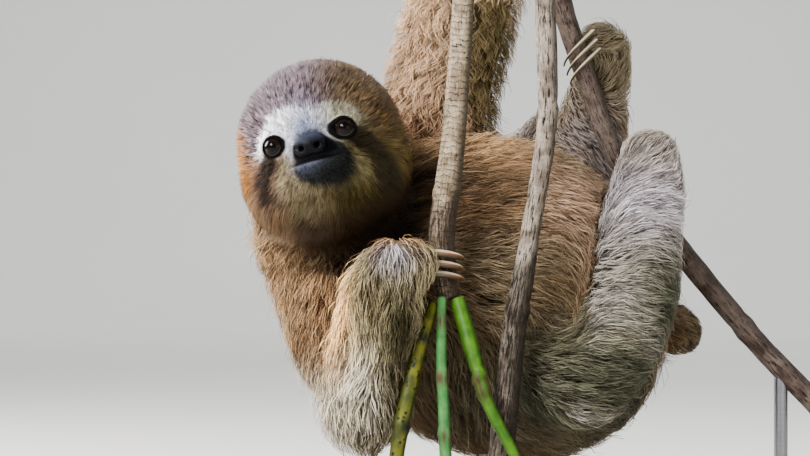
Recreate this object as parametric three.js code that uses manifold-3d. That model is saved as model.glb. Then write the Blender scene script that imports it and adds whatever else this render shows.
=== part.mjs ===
// A life-size model of a young three-toed sloth hanging among lianas, on a plain stand.
//
// Millimetres, +Z up. The origin is the middle of the underside of the stand's base. +X runs from
// the sloth's head to its rump, and the face looks to -Y. Every outline of the body is taken at
// the tips of the coat, and each piece keeps a small gap to the piece it touches.
import * as THREE from "three";
import { mergeVertices } from "three/addons/utils/BufferGeometryUtils.js";
import Module from "manifold-3d";

const wasm = await Module();
wasm.setup();

const gap = 0.4; // clearance between touching pieces

// ---- Driving dimensions: the body. A station is [x, y, z, radius to the coat's tips]. ----

const trunk = {
  stations: [
    [-30, 12, 163, 62],
    [-8, 16, 151, 76],
    [19, 17, 142, 82],
    [42, 17, 128, 70],
    [54, 18, 122, 55],
  ],
  depth: 0.8, // front to back, as a share of the height
  endLength: 0.7, // how far each end bulges, as a share of its radius
};

const head = {
  centre: [-70, -43, 217.1],
  turn: 9, // degrees, the face towards -X
  lift: 8, // degrees, the face upwards
  tilt: 15, // degrees, the +X side of the face upwards
  // Balls in the head's own frame: x to the left eye, y backwards, z up, then radius.
  cranium: [0, 3, 5, 40.5],
  cheeks: [17, -3, -12, 25.5],
  throat: [0, -1, -18, 25],
  brows: [9, -11.5, 6, 24],
  muzzle: [0, -26.5, -8, 12.5],
  chin: [0, -20, -14, 13],
  blend: 8,
};

const eye = { place: [17.7, -31, 3], radius: 5.7 };
const nose = { place: [0, -38.2, -3.4], size: [7.2, 4.6, 4.4] };

const neck = [
  [-71, -26, 204, 36],
  [-65, -14, 186, 39],
  [-50, 4, 170, 44],
];

const tail = [
  [84, 35, 134, 15.5],
  [98, 41, 132, 13.5],
  [108, 45, 129, 12],
  [115.5, 48, 124.5, 10],
];

// The right arm hangs down and is folded sharply at the elbow. The left arm reaches up.
const arms = {
  right: {
    upper: [
      [-67, -14, 161, 33],
      [-65, -26, 138, 28],
      [-54, -38, 112, 25.5],
      [-48, -44, 97, 22.5],
    ],
    fore: [
      [-46, -53, 95, 22],
      [-48, -61, 117, 21],
      [-42, -68, 140, 22],
      [-40, -71, 148, 21],
    ],
    hand: [
      [-40, -71, 150, 20.5],
      [-33, -71, 159, 17.5],
      [-28, -70, 162.5, 13],
    ],
  },
  left: {
    upper: [
      [-22, 24, 188, 34],
      [-14, 31, 222, 32],
      [-6, 32, 260, 31],
      [1, 30, 298, 29],
    ],
    fore: [
      [2, 29, 302, 28],
      [9, 16, 335, 24],
      [19, -4, 366, 19],
    ],
    hand: [
      [20, -7, 369, 18.5],
      [27, -21, 386, 15],
      [29, -29, 395, 11.5],
    ],
  },
};

// Both feet hook over the slanting branch, one from each side of it.
const legs = {
  right: {
    thigh: [
      [40, -14, 124, 38],
      [52, -34, 106, 30],
      [58, -42, 101, 25],
    ],
    shin: [
      [59, -45, 101, 23.5],
      [74, -40, 121, 22],
      [84, -32, 145, 22.5],
      [87, -25, 168, 22],
    ],
    foot: [
      [87, -24, 170, 21.5],
      [92, -11, 197, 18.5],
      [93, -1, 215, 15.5],
    ],
  },
  left: {
    thigh: [
      [55, 40, 142, 36],
      [48, 68, 186, 29],
      [45, 88, 216, 24],
    ],
    shin: [
      [44, 92, 220, 23],
      [52, 72, 223, 20],
      [60, 54, 223, 19.5],
    ],
    foot: [
      [62, 49, 224, 19],
      [68, 42, 250, 18],
      [72, 35, 273, 14.5],
    ],
  },
};

// A claw is an arc round the branch it holds. It leaves the paw and tapers to its tip.
const claw = { count: 3, rootRadius: 1.8, tipRadius: 0.6, start: 20, sweep: 205, spacing: 5, slack: 1.5 };

// Each grip: the point on the branch's axis, the branch's direction, the way to the paw, the side
// that the claws pass over, how far out they leave the paw, and how far they slide along.
const grips = {
  hand_right: {
    on: "liana_hand",
    at: [-11.5, -60, 163.4],
    along: [0, 0, -1],
    paw: [-1, -0.3, 0],
    over: -1,
    reach: 18,
    slide: 0,
  },
  hand_left: {
    on: "liana_front",
    at: [35.6, -48.6, 399],
    along: [0, 0, 1],
    paw: [-0.35, 1, 0],
    over: -1,
    reach: 18,
    slide: 0,
  },
  foot_right: {
    on: "branch_slanting",
    at: [84, 22.6, 206.4],
    along: [0.49, -0.05, -0.87],
    paw: [0.27, -0.95, 0.25],
    over: -1,
    reach: 19,
    slide: 3,
  },
  foot_left: {
    on: "branch_slanting",
    at: [57.5, 18, 266.5],
    along: [0.34, 0.24, -0.91],
    paw: [0.75, 0.8, 0.5],
    over: 1,
    reach: 17,
    slide: 9,
  },
};

// ---- Driving dimensions: the lianas and the stand. ----

const perches = {
  liana_hand: [
    [28, -56, 430, 6],
    [20, -59, 408, 6],
    [9, -58, 372, 6.1],
    [3, -57, 335, 6.2],
    [-2, -57, 289, 6.4],
    [-5, -59, 244, 6.8],
    [-8, -60, 212, 7],
    [-12, -60, 180, 6.8],
    [-11.5, -60, 163, 6.5],
    [-9.5, -60, 147, 7.4],
  ],
  liana_front: [
    [35.6, -47, 436, 5.6],
    [35.6, -49, 390, 5.6],
    [36.5, -51, 340, 5.6],
    [37.2, -54, 289, 5.8],
    [38, -59, 232, 5.6],
    [30, -64, 179, 6.4],
    [22, -66, 131, 6.6],
    [16, -65, 72, 6.6],
    [15, -64, 44, 6.6],
  ],
  branch_slanting: [
    [39, -37.4, 376, 5.2],
    [41, -26, 345, 5.2],
    [45, -4, 312, 5.3],
    [50, 10, 290, 5.4],
    [57, 18, 270, 5.4],
    [64, 22, 252, 5.4],
    [72, 23.5, 228, 5.5],
    [89, 22, 197, 5.6],
    [115, 20, 162, 5.6],
    [150, 16, 120, 5.6],
    [186, 13, 83, 5.8],
  ],
};

const stems = {
  stem_yellow: [
    [-15, -62, 144, 3.4],
    [-22, -68, 125, 4.3],
    [-30, -72, 92, 4.8],
    [-34, -73, 68, 3.6],
    [-36, -73, 48, 3.4],
  ],
  stem_green: [
    [-11.5, -66, 141, 2.8],
    [-12, -68, 118, 3],
    [-11, -69, 92, 3.1],
    [-9.5, -70, 48, 3.2],
  ],
  stem_leafy: [
    [-4.5, -64, 143, 3.2],
    [1, -70, 125, 3.6],
    [9, -76, 98, 3],
    [21, -78, 74, 2.6],
    [24, -78, 66, 2],
  ],
};

const base = { width: 396, depth: 250, height: 16, corner: 60, bevel: 2 };
const rod = { radius: 3.5, frontTop: 43.6, backPlace: [160, 14.9], backTop: 115 };

// ---- Making solids. ----

// A closed mesh as a manifold-3d solid.
function solidOf(geometry) {
  geometry.deleteAttribute("normal");
  geometry.deleteAttribute("uv");
  const merged = mergeVertices(geometry, 1e-3);
  return new wasm.Manifold(
    new wasm.Mesh({
      numProp: 3,
      vertProperties: merged.attributes.position.array,
      triVerts: new Uint32Array(merged.index.array),
    }),
  );
}

// The largest piece that is left of a solid once its neighbours are cut from it.
function cut(solid, ...neighbours) {
  const left = neighbours.reduce((s, n) => s.subtract(n), solid).decompose();
  return left.sort((a, b) => b.volume() - a.volume())[0];
}

// A large block whose one face lies through a point, gap / 2 short of it, with the block behind.
function blockBehind(point, normal) {
  const side = 600;
  const block = new THREE.BoxGeometry(side, side, side).translate(0, 0, (gap - side) / 2);
  const turn = new THREE.Quaternion().setFromUnitVectors(new THREE.Vector3(0, 0, 1), normal);
  return solidOf(block.applyQuaternion(turn).translate(point.x, point.y, point.z));
}

// Two unit vectors square to a direction, the first as near to a chosen one as it can be.
function acrossOf(direction, chosen) {
  const side = chosen.clone().addScaledVector(direction, -chosen.dot(direction)).normalize();
  return [side, new THREE.Vector3().crossVectors(direction, side)];
}

const frontToBack = new THREE.Vector3(0, 1, 0);

// A closed loft along a smooth line through the stations. Its sections are ellipses: depth is
// their share along the chosen side. Round ends bulge by endLength of the end radius, and flat
// ones have 0.
function loft(stations, options = {}) {
  const { sides = 12, rings = 6, depth = 1, endLength = 1, grow = 0, chosen = frontToBack } = options;
  const path = new THREE.CatmullRomCurve3(stations.map(([x, y, z]) => new THREE.Vector3(x, y, z)));
  const sizes = new THREE.CatmullRomCurve3(stations.map((s) => new THREE.Vector3(s[3], 0, 0)));
  const capRings = endLength > 0 ? options.capRings ?? 3 : 1;
  const positions = [];
  const ring = (t, forward, share) => {
    const centre = path.getPoint(t);
    const direction = path.getTangent(t);
    const radius = sizes.getPoint(t).x + grow;
    centre.addScaledVector(direction, forward * (radius * endLength + (endLength ? 0 : grow)));
    const [side, up] = acrossOf(direction, chosen);
    for (let i = 0; i < sides; i++) {
      const angle = (2 * Math.PI * i) / sides;
      const p = centre.clone();
      p.addScaledVector(side, Math.cos(angle) * radius * share * depth);
      p.addScaledVector(up, Math.sin(angle) * radius * share);
      positions.push(p.x, p.y, p.z);
    }
  };
  const pole = (t, forward) => {
    const radius = sizes.getPoint(t).x + grow;
    const reach = forward * (radius * endLength + (endLength ? 0 : grow));
    const p = path.getPoint(t).addScaledVector(path.getTangent(t), reach);
    positions.push(p.x, p.y, p.z);
  };
  let count = 0;
  const quarter = (j) => (Math.PI / 2) * (j / capRings);
  pole(0, -1);
  for (let j = 1; j < capRings; j++, count++) ring(0, -Math.cos(quarter(j)), Math.sin(quarter(j)));
  for (let j = 0; j <= rings; j++, count++) {
    const flat = endLength ? 0 : j === 0 ? -1 : j === rings ? 1 : 0;
    ring(j / rings, flat, 1);
  }
  for (let j = capRings - 1; j > 0; j--, count++) ring(1, Math.cos(quarter(j)), Math.sin(quarter(j)));
  pole(1, 1);
  const index = [];
  const at = (j, i) => 1 + j * sides + (i % sides);
  const last = 1 + count * sides;
  for (let i = 0; i < sides; i++) {
    index.push(0, at(0, i + 1), at(0, i), last, at(count - 1, i), at(count - 1, i + 1));
    for (let j = 0; j < count - 1; j++) {
      index.push(at(j, i), at(j, i + 1), at(j + 1, i), at(j, i + 1), at(j + 1, i + 1), at(j + 1, i));
    }
  }
  const geometry = new THREE.BufferGeometry();
  geometry.setAttribute("position", new THREE.Float32BufferAttribute(positions, 3));
  geometry.setIndex(index);
  return solidOf(geometry);
}

// ---- The head: a rounded mass of blended balls, turned to face -Y. ----

const radians = THREE.MathUtils.degToRad;

function headMatrix() {
  const forward = new THREE.Vector3(
    -Math.sin(radians(head.turn)) * Math.cos(radians(head.lift)),
    -Math.cos(radians(head.turn)) * Math.cos(radians(head.lift)),
    Math.sin(radians(head.lift)),
  );
  const right = new THREE.Vector3(0, 0, 1).cross(forward).normalize();
  const up = new THREE.Vector3().crossVectors(forward, right);
  const tilted = right.clone().multiplyScalar(Math.cos(radians(head.tilt)));
  tilted.addScaledVector(up, Math.sin(radians(head.tilt)));
  const back = forward.clone().negate();
  const top = new THREE.Vector3().crossVectors(tilted, back);
  return new THREE.Matrix4().makeBasis(tilted, back, top).setPosition(...head.centre);
}

const headFrame = headMatrix();
const inHead = (p) => new THREE.Vector3(...p).applyMatrix4(headFrame);
const mirrored = ([x, ...rest]) => [-x, ...rest];

function smoothMin(a, b, width) {
  const h = Math.max(width - Math.abs(a - b), 0) / width;
  return Math.min(a, b) - (h * h * width) / 4;
}

// Signed distance to the head's outline, in its own frame.
function headField(p) {
  const { cranium, cheeks, throat, brows, muzzle, chin, blend } = head;
  return [cranium, cheeks, mirrored(cheeks), throat, brows, mirrored(brows), muzzle, chin]
    .map(([x, y, z, r]) => p.distanceTo(new THREE.Vector3(x, y, z)) - r)
    .reduce((a, b) => smoothMin(a, b, blend));
}

// Each corner of a fine ball is moved along its ray to the head's outline, which is found by
// halving the stretch of the ray that holds it.
function headSolid(grow = 0) {
  const [shortest, longest, halvings] = [5, 80, 24];
  const geometry = new THREE.IcosahedronGeometry(1, 6);
  const corners = geometry.getAttribute("position");
  for (let i = 0; i < corners.count; i++) {
    const ray = new THREE.Vector3().fromBufferAttribute(corners, i).normalize();
    let [inside, outside] = [shortest, longest];
    for (let n = 0; n < halvings; n++) {
      const middle = (inside + outside) / 2;
      if (headField(ray.clone().multiplyScalar(middle)) < grow) inside = middle;
      else outside = middle;
    }
    corners.setXYZ(i, ...ray.multiplyScalar(inside));
  }
  return solidOf(geometry.applyMatrix4(headFrame));
}

function eyeSolid(side, grow = 0) {
  const place = side === "left" ? eye.place : mirrored(eye.place);
  const ball = new THREE.IcosahedronGeometry(eye.radius + grow, 2);
  const centre = inHead(place);
  return solidOf(ball.translate(centre.x, centre.y, centre.z));
}

function noseSolid(grow = 0) {
  const pad = new THREE.IcosahedronGeometry(1, 2);
  pad.scale(...nose.size.map((r) => r + grow)).translate(...nose.place);
  return solidOf(pad.applyMatrix4(headFrame));
}

// ---- Claws: each hooks round its branch, from the paw over to the far side. ----

function clawSolids(grip) {
  const along = new THREE.Vector3(...grip.along).normalize();
  const paw = new THREE.Vector3(...grip.paw);
  paw.addScaledVector(along, -paw.dot(along)).normalize();
  const over = new THREE.Vector3().crossVectors(along, paw).multiplyScalar(grip.over);
  const branchRadius = Math.max(...perches[grip.on].map((s) => s[3]));
  const bend = branchRadius + claw.rootRadius + claw.slack; // the arc's own radius
  const steps = 7;
  return Array.from({ length: claw.count }, (_, n) => {
    const offset = (n - (claw.count - 1) / 2) * claw.spacing;
    const stations = Array.from({ length: steps + 1 }, (_, j) => {
      const share = j / steps;
      const angle = radians(THREE.MathUtils.lerp(claw.start, claw.sweep, share));
      const radius = THREE.MathUtils.lerp(claw.rootRadius, claw.tipRadius, share ** 1.4);
      const away = bend + (grip.reach - bend) * (1 - share) ** 4;
      const p = new THREE.Vector3(...grip.at);
      p.addScaledVector(along, offset + grip.slide * (share - 0.5));
      p.addScaledVector(paw, Math.cos(angle) * away - claw.slack);
      p.addScaledVector(over, Math.sin(angle) * away);
      return [p.x, p.y, p.z, radius];
    });
    return loft(stations, { sides: 6, rings: 6, capRings: 2, chosen: along });
  });
}

// ---- The stand. ----

function baseSolid() {
  const { width, depth, height, corner, bevel } = base;
  const [x, y] = [width / 2 - bevel, depth / 2 - bevel];
  const outline = new THREE.Shape();
  outline.moveTo(corner - x, -y).lineTo(x - corner, -y);
  outline.absarc(x - corner, corner - y, corner, -Math.PI / 2, 0);
  outline.absarc(x - corner, y - corner, corner, 0, Math.PI / 2);
  outline.absarc(corner - x, y - corner, corner, Math.PI / 2, Math.PI);
  outline.absarc(corner - x, corner - y, corner, Math.PI, 1.5 * Math.PI);
  const slab = new THREE.ExtrudeGeometry(outline, {
    depth: height - 2 * bevel,
    bevelSize: bevel,
    bevelThickness: bevel,
    bevelSegments: 1,
    curveSegments: 5,
  });
  return solidOf(slab.translate(0, 0, bevel));
}

function rodSolid([x, y], top) {
  const bottom = base.height + gap;
  const shaft = new THREE.CylinderGeometry(rod.radius, rod.radius, top - bottom, 20);
  return solidOf(shaft.rotateX(Math.PI / 2).translate(x, y, (top + bottom) / 2));
}

// ---- Limbs: each is three lofts, mitred where they meet. ----

// The point and the direction of the mitre plane between two runs of stations.
function mitre(before, after) {
  const [p, q] = [before.at(-2), before.at(-1)].map((s) => new THREE.Vector3(...s.slice(0, 3)));
  const [r, t] = [after[0], after[1]].map((s) => new THREE.Vector3(...s.slice(0, 3)));
  const normal = q.clone().sub(p).normalize().add(t.sub(r).normalize()).normalize();
  return { point: q.add(r).multiplyScalar(0.5), normal };
}

function limbSolids(runs, grow) {
  return runs.map((stations, n) => {
    let solid = loft(stations, { ...round, grow });
    if (n > 0) {
      const { point, normal } = mitre(runs[n - 1], stations);
      solid = solid.subtract(blockBehind(point, normal));
    }
    if (n < runs.length - 1) {
      const { point, normal } = mitre(stations, runs[n + 1]);
      solid = solid.subtract(blockBehind(point, normal.negate()));
    }
    return solid;
  });
}

// ---- Fitting the pieces to each other, from the innermost outwards. ----

const woody = { sides: 8, rings: 15, endLength: 0 };
const green = { sides: 6, rings: 8, endLength: 0 };
const round = { sides: 12, rings: 4 };
const solids = new Map();
const grown = new Map(); // the same outlines with the gap added, to cut neighbours with

function add(name, make, cutters = []) {
  const solid = cut(make(0), ...cutters.map((c) => grown.get(c)));
  solids.set(name, solid);
  grown.set(name, make(gap));
}

for (const [name, stations] of Object.entries(perches)) {
  add(name, (grow) => loft(stations, { ...woody, grow }), [...solids.keys()]);
}
for (const [name, stations] of Object.entries(stems)) {
  add(name, (grow) => loft(stations, { ...green, grow }), [...solids.keys()]);
}
const plants = [...solids.keys()];

for (const side of ["left", "right"]) add(`eye_${side}`, (grow) => eyeSolid(side, grow));
add("nose", noseSolid);
add("head", headSolid, ["eye_left", "eye_right", "nose", ...plants]);

add("trunk", (grow) => loft(trunk.stations, { ...trunk, sides: 22, rings: 7, grow }), ["head", ...plants]);
add("neck", (grow) => loft(neck, { sides: 14, rings: 4, grow }), ["head", "trunk", ...plants]);

const flesh = ["head", "trunk", "neck"];
const limbs = {
  left: [
    ["upper_arm", "forearm", "hand", arms.left],
    ["thigh", "shin", "foot", legs.left],
  ],
  right: [
    ["upper_arm", "forearm", "hand", arms.right],
    ["thigh", "shin", "foot", legs.right],
  ],
};
for (const [side, pair] of Object.entries(limbs)) {
  for (const [upper, middle, end, limb] of pair) {
    const runs = Object.values(limb);
    const others = [...flesh, ...plants];
    [upper, middle, end].forEach((part, n) => {
      add(`${part}_${side}`, (grow) => limbSolids(runs, grow)[n], others);
      flesh.push(`${part}_${side}`);
    });
  }
}
add("tail", (grow) => loft(tail, { ...round, grow }), [...flesh, ...plants]);
flesh.push("tail");

for (const [paw, grip] of Object.entries(grips)) {
  clawSolids(grip).forEach((solid, n) => {
    solids.set(`claw_${paw}_${n + 1}`, cut(solid, ...[...flesh, ...plants].map((c) => grown.get(c))));
  });
}

solids.set("stand_base", baseSolid());
const [frontX, frontY] = perches.liana_front.at(-1);
solids.set("stand_rod_front", rodSolid([frontX, frontY], rod.frontTop));
solids.set("stand_rod_back", cut(rodSolid(rod.backPlace, rod.backTop), grown.get("branch_slanting")));

// ---- Materials and the finished group. ----

const finishes = {
  coat: { color: 0x9a8468, roughness: 0.9 },
  coatPale: { color: 0xb4a890, roughness: 0.9 },
  coatRusty: { color: 0x8f6238, roughness: 0.9 },
  coatFace: { color: 0x8c7a66, roughness: 0.9 },
  eye: { color: 0x120c0a, roughness: 0.08 },
  nose: { color: 0x18181b, roughness: 0.45 },
  claw: { color: 0xcabfa4, roughness: 0.4 },
  bark: { color: 0x8d7c68, roughness: 0.85 },
  barkDark: { color: 0x5d4a41, roughness: 0.9 },
  stemYellow: { color: 0x8f9a18, roughness: 0.6 },
  stemGreen: { color: 0x5f9a48, roughness: 0.55 },
  standWood: { color: 0x3a2a20, roughness: 0.45 },
  standMetal: { color: 0x3c3c3e, roughness: 0.35, metalness: 1 },
};
const finishOf = [
  [/^eye_/, "eye"],
  [/^nose/, "nose"],
  [/^claw_/, "claw"],
  [/^head/, "coatFace"],
  [/^trunk|^neck/, "coatRusty"],
  [/^thigh|^shin|^foot/, "coatPale"],
  [/^branch_slanting/, "barkDark"],
  [/^liana/, "bark"],
  [/^stem_yellow/, "stemYellow"],
  [/^stem_/, "stemGreen"],
  [/^stand_base/, "standWood"],
  [/^stand_rod/, "standMetal"],
  [/./, "coat"],
];

const sloth = new THREE.Group();
for (const [name, solid] of solids) {
  const { numProp, vertProperties, triVerts } = solid.getMesh();
  if (numProp !== 3) throw new Error(`${name} has ${numProp} numbers for each corner`);
  const geometry = new THREE.BufferGeometry();
  geometry.setAttribute("position", new THREE.BufferAttribute(vertProperties, 3));
  geometry.setIndex(new THREE.BufferAttribute(triVerts, 1));
  geometry.computeVertexNormals();
  const finish = finishes[finishOf.find(([pattern]) => pattern.test(name))[1]];
  const mesh = new THREE.Mesh(geometry, new THREE.MeshStandardMaterial(finish));
  mesh.name = name;
  sloth.add(mesh);
}

export default sloth;
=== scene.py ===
import math

import bpy
import numpy as np
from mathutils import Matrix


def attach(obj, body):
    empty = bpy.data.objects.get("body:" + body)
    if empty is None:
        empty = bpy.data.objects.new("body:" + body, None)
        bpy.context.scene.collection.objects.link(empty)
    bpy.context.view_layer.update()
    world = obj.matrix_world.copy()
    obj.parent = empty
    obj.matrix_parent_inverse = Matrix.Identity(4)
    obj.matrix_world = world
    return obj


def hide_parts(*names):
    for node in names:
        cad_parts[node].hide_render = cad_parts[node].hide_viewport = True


# A young three-toed sloth among lianas. Shapes are worked out in millimetres, in the frame's own
# axes: +X from head to rump, -Y the side that the face looks to, +Z up.
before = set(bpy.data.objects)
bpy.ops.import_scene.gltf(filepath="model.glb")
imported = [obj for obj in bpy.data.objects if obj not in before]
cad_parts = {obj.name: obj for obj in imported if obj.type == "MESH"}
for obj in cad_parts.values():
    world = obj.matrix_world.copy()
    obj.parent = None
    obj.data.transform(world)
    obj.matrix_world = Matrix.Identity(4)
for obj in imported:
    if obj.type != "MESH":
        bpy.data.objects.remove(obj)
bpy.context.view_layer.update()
toMetres = 0.001
print("frame loaded:", len(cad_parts), "nodes")


# The camera is level and looks along +Y, with half a millimetre to a pixel at y = 0.
view = {"place": (-30, -1350, 180), "lens": 120, "sensor": 36, "nearest": 0.01}


def makeCamera():
    camera = bpy.data.objects.new("camera", bpy.data.cameras.new("camera"))
    bpy.context.scene.collection.objects.link(camera)
    camera.location = [c * toMetres for c in view["place"]]
    camera.rotation_euler = (math.radians(90), 0, 0)
    camera.data.lens = view["lens"]
    camera.data.sensor_width = view["sensor"]
    camera.data.clip_start = view["nearest"]
    bpy.context.scene.camera = camera


makeCamera()


# An sRGB colour, 0 to 255, as the linear one that shaders and attributes hold.
def colour(red, green, blue):
    share = np.array([red, green, blue]) / 255
    return np.where(share <= 0.04045, share / 12.92, ((share + 0.055) / 1.055) ** 2.4)


# 0 below low, 1 above high, and eased between them. Low may be above high.
def ease(low, high, value):
    t = np.clip((value - low) / (high - low), 0, 1)
    return t * t * (3 - 2 * t)


def length(vectors):
    return np.linalg.norm(vectors, axis=-1)


def unit(vectors):
    return vectors / np.maximum(length(vectors)[..., None], 1e-9)


# Angles round a circle, evenly spaced.
def fullTurn(count):
    return np.arange(count) / count * 2 * math.pi


# The direction at each angle, between a first direction and a second one square to it.
def onCircle(angle, first, second):
    return np.cos(angle)[..., None] * first + np.sin(angle)[..., None] * second


# Smooth random heights from -1 to 1: random values at a unit lattice's corners, eased between them.
def noise(where, seed):
    table = np.random.default_rng(seed).uniform(-1, 1, (32, 32, 32))
    cell = np.floor(where).astype(int)
    t = where - cell
    t = t * t * (3 - 2 * t)
    total = np.zeros(len(where))
    for corner in np.ndindex(2, 2, 2):
        weight = np.prod(np.where(corner, t, 1 - t), axis=1)
        x, y, z = ((cell + corner) % 32).T
        total += weight * table[x, y, z]
    return total


# Points (mm), and faces as one array of corners for each kind of face, become a smooth mesh.
# Attributes with one value for each point are floats, and those with three are colours.
def makeObject(name, points, faces, attributes=None, uv=None):
    mesh = bpy.data.meshes.new(name)
    corners = np.concatenate([f.ravel() for f in faces])
    sizes = np.concatenate([np.full(len(f), f.shape[1]) for f in faces])
    mesh.vertices.add(len(points))
    mesh.vertices.foreach_set("co", (points * toMetres).astype(np.float32).ravel())
    mesh.loops.add(len(corners))
    mesh.loops.foreach_set("vertex_index", corners.astype(np.int32))
    mesh.polygons.add(len(sizes))
    mesh.polygons.foreach_set("loop_start", (np.cumsum(sizes) - sizes).astype(np.int32))
    mesh.polygons.foreach_set("use_smooth", np.ones(len(sizes), bool))
    if uv is not None:
        layer = mesh.uv_layers.new(name="OFBake")
        layer.data.foreach_set("uv", uv.astype(np.float32).ravel())
    for key, values in (attributes or {}).items():
        if values.ndim == 1:
            made = mesh.attributes.new(key, "FLOAT", "POINT")
            made.data.foreach_set("value", values.astype(np.float32))
        else:
            made = mesh.attributes.new(key, "FLOAT_VECTOR", "POINT")
            made.data.foreach_set("vector", values.astype(np.float32).ravel())
    mesh.update(calc_edges=True)
    piece = bpy.data.objects.new(name, mesh)
    bpy.context.scene.collection.objects.link(piece)
    return piece


# A piece that takes a material, rides on the one body, and may stand for CAD nodes.
def finishPiece(piece, material, nodes=()):
    piece.data.materials.append(material)
    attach(piece, "root")
    if nodes:
        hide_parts(*nodes)


# One output of a shader node. Arithmetic on it adds Math nodes, and node() adds any other.
class Wire:
    def __init__(self, tree, socket=None):
        self.tree = tree
        self.socket = socket

    # Settings come first, then a number, colour or Wire for each input named or numbered.
    def node(self, kind, settings=None, values=None, output=0):
        made = self.tree.nodes.new("ShaderNode" + kind)
        for name, setting in (settings or {}).items():
            setattr(made, name, setting)
        for name, value in (values or {}).items():
            if isinstance(value, Wire):
                self.tree.links.new(value.socket, made.inputs[name])
            else:
                made.inputs[name].default_value = value
        return Wire(self.tree, made.outputs[output] if made.outputs else None)

    def maths(self, operation, first, second):
        return self.node("Math", {"operation": operation}, {0: first, 1: second})

    def __add__(self, other):
        return self.maths("ADD", self, other)

    def __radd__(self, other):
        return self.maths("ADD", other, self)

    def __sub__(self, other):
        return self.maths("SUBTRACT", self, other)

    def __rsub__(self, other):
        return self.maths("SUBTRACT", other, self)

    def __mul__(self, other):
        return self.maths("MULTIPLY", self, other)

    def __rmul__(self, other):
        return self.maths("MULTIPLY", other, self)

    def __pow__(self, other):
        return self.maths("POWER", self, other)

    # 0 at low and below, 1 at high and above, and eased between them. Low may be above high.
    def between(self, low, high):
        settings = {"interpolation_type": "SMOOTHSTEP"}
        return self.node("MapRange", settings, {"Value": self, "From Min": low, "From Max": high})

    # From the first colour to the second, by this.
    def mixed(self, first, second, blend="MIX"):
        pair = {6: fourth(first), 7: fourth(second)}
        return self.node("Mix", {"data_type": "RGBA", "blend_type": blend}, {0: self, **pair}, output=2)

    def scaled(self, amount):
        return self.node("VectorMath", {"operation": "SCALE"}, {0: self, "Scale": amount})

    # Coordinates stretched or squeezed by three factors.
    def stretched(self, factors):
        return self.node("VectorMath", {"operation": "MULTIPLY"}, {0: self, 1: factors})

    # A texture over these coordinates. What the call names goes to the texture's inputs.
    def texture(self, kind, scale, **inputs):
        return self.node("Tex" + kind, {}, {"Vector": self, "Scale": scale, **inputs})


# A new material. build() gives its Principled shader's inputs as numbers, colours or Wires.
def makeMaterial(name, build, *look):
    material = bpy.data.materials.new(name)
    material.use_nodes = True
    tree = material.node_tree
    tree.nodes.clear()
    start = Wire(tree)
    values = build(start, *look)
    shader = start.node("BsdfPrincipled", values={k: fourth(v) for k, v in values.items()})
    start.node("OutputMaterial", values={"Surface": shader})
    return material


# A colour takes a fourth value, and anything else stays as it is.
def fourth(value):
    return (*value, 1) if isinstance(value, (tuple, np.ndarray)) and len(value) == 3 else value


def attribute(start, name, output=1):
    return start.node("Attribute", {"attribute_name": name}, output=output)


def objectPlace(start):
    return start.node("TexCoord", output=3)


def bump(start, height, strength, distance):
    values = {"Height": height, "Strength": strength, "Distance": distance}
    return start.node("Bump", values=values)


# A Catmull-Rom curve through stations [x, y, z, radius, ...], with a point about every step.
def smoothLine(stations, step):
    s = np.array(stations, float)
    s = np.vstack([2 * s[0] - s[1], s, 2 * s[-1] - s[-2]])
    pieces = []
    for a, b, c, d in zip(s[:-3], s[1:-2], s[2:-1], s[3:]):
        count = max(1, round(np.linalg.norm(c[:3] - b[:3]) / step))
        t = (np.arange(count) / count)[:, None]
        square, cube = 2 * a - 5 * b + 4 * c - d, 3 * b - a - 3 * c + d
        pieces.append(0.5 * (2 * b + (c - a) * t + square * t**2 + cube * t**3))
    return np.vstack([*pieces, s[-2][None]])


# How far along a line each of its points is.
def distanceAlong(points):
    return np.concatenate([[0], np.cumsum(length(np.diff(points, axis=0)))])


# The quads of a grid of points, rows by columns. A closed grid joins its last column to the first.
def gridQuads(rows, columns, closed=True):
    wide = columns if closed else columns - 1
    i, j = np.meshgrid(np.arange(rows - 1), np.arange(wide), indexing="ij")
    i, j = i.ravel() * columns, j.ravel()
    after = (j + 1) % columns
    return np.stack([i + j, i + after, i + columns + after, i + columns + j], 1)


# The triangles that close a closed grid's two ends, each round a point that comes after the grid's.
def endFans(rows, columns):
    j = np.arange(columns)
    after = (j + 1) % columns
    last = (rows - 1) * columns
    pole = np.full(columns, rows * columns)
    return np.vstack([np.stack([pole, after, j], 1), np.stack([pole + 1, last + j, last + after], 1)])


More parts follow.
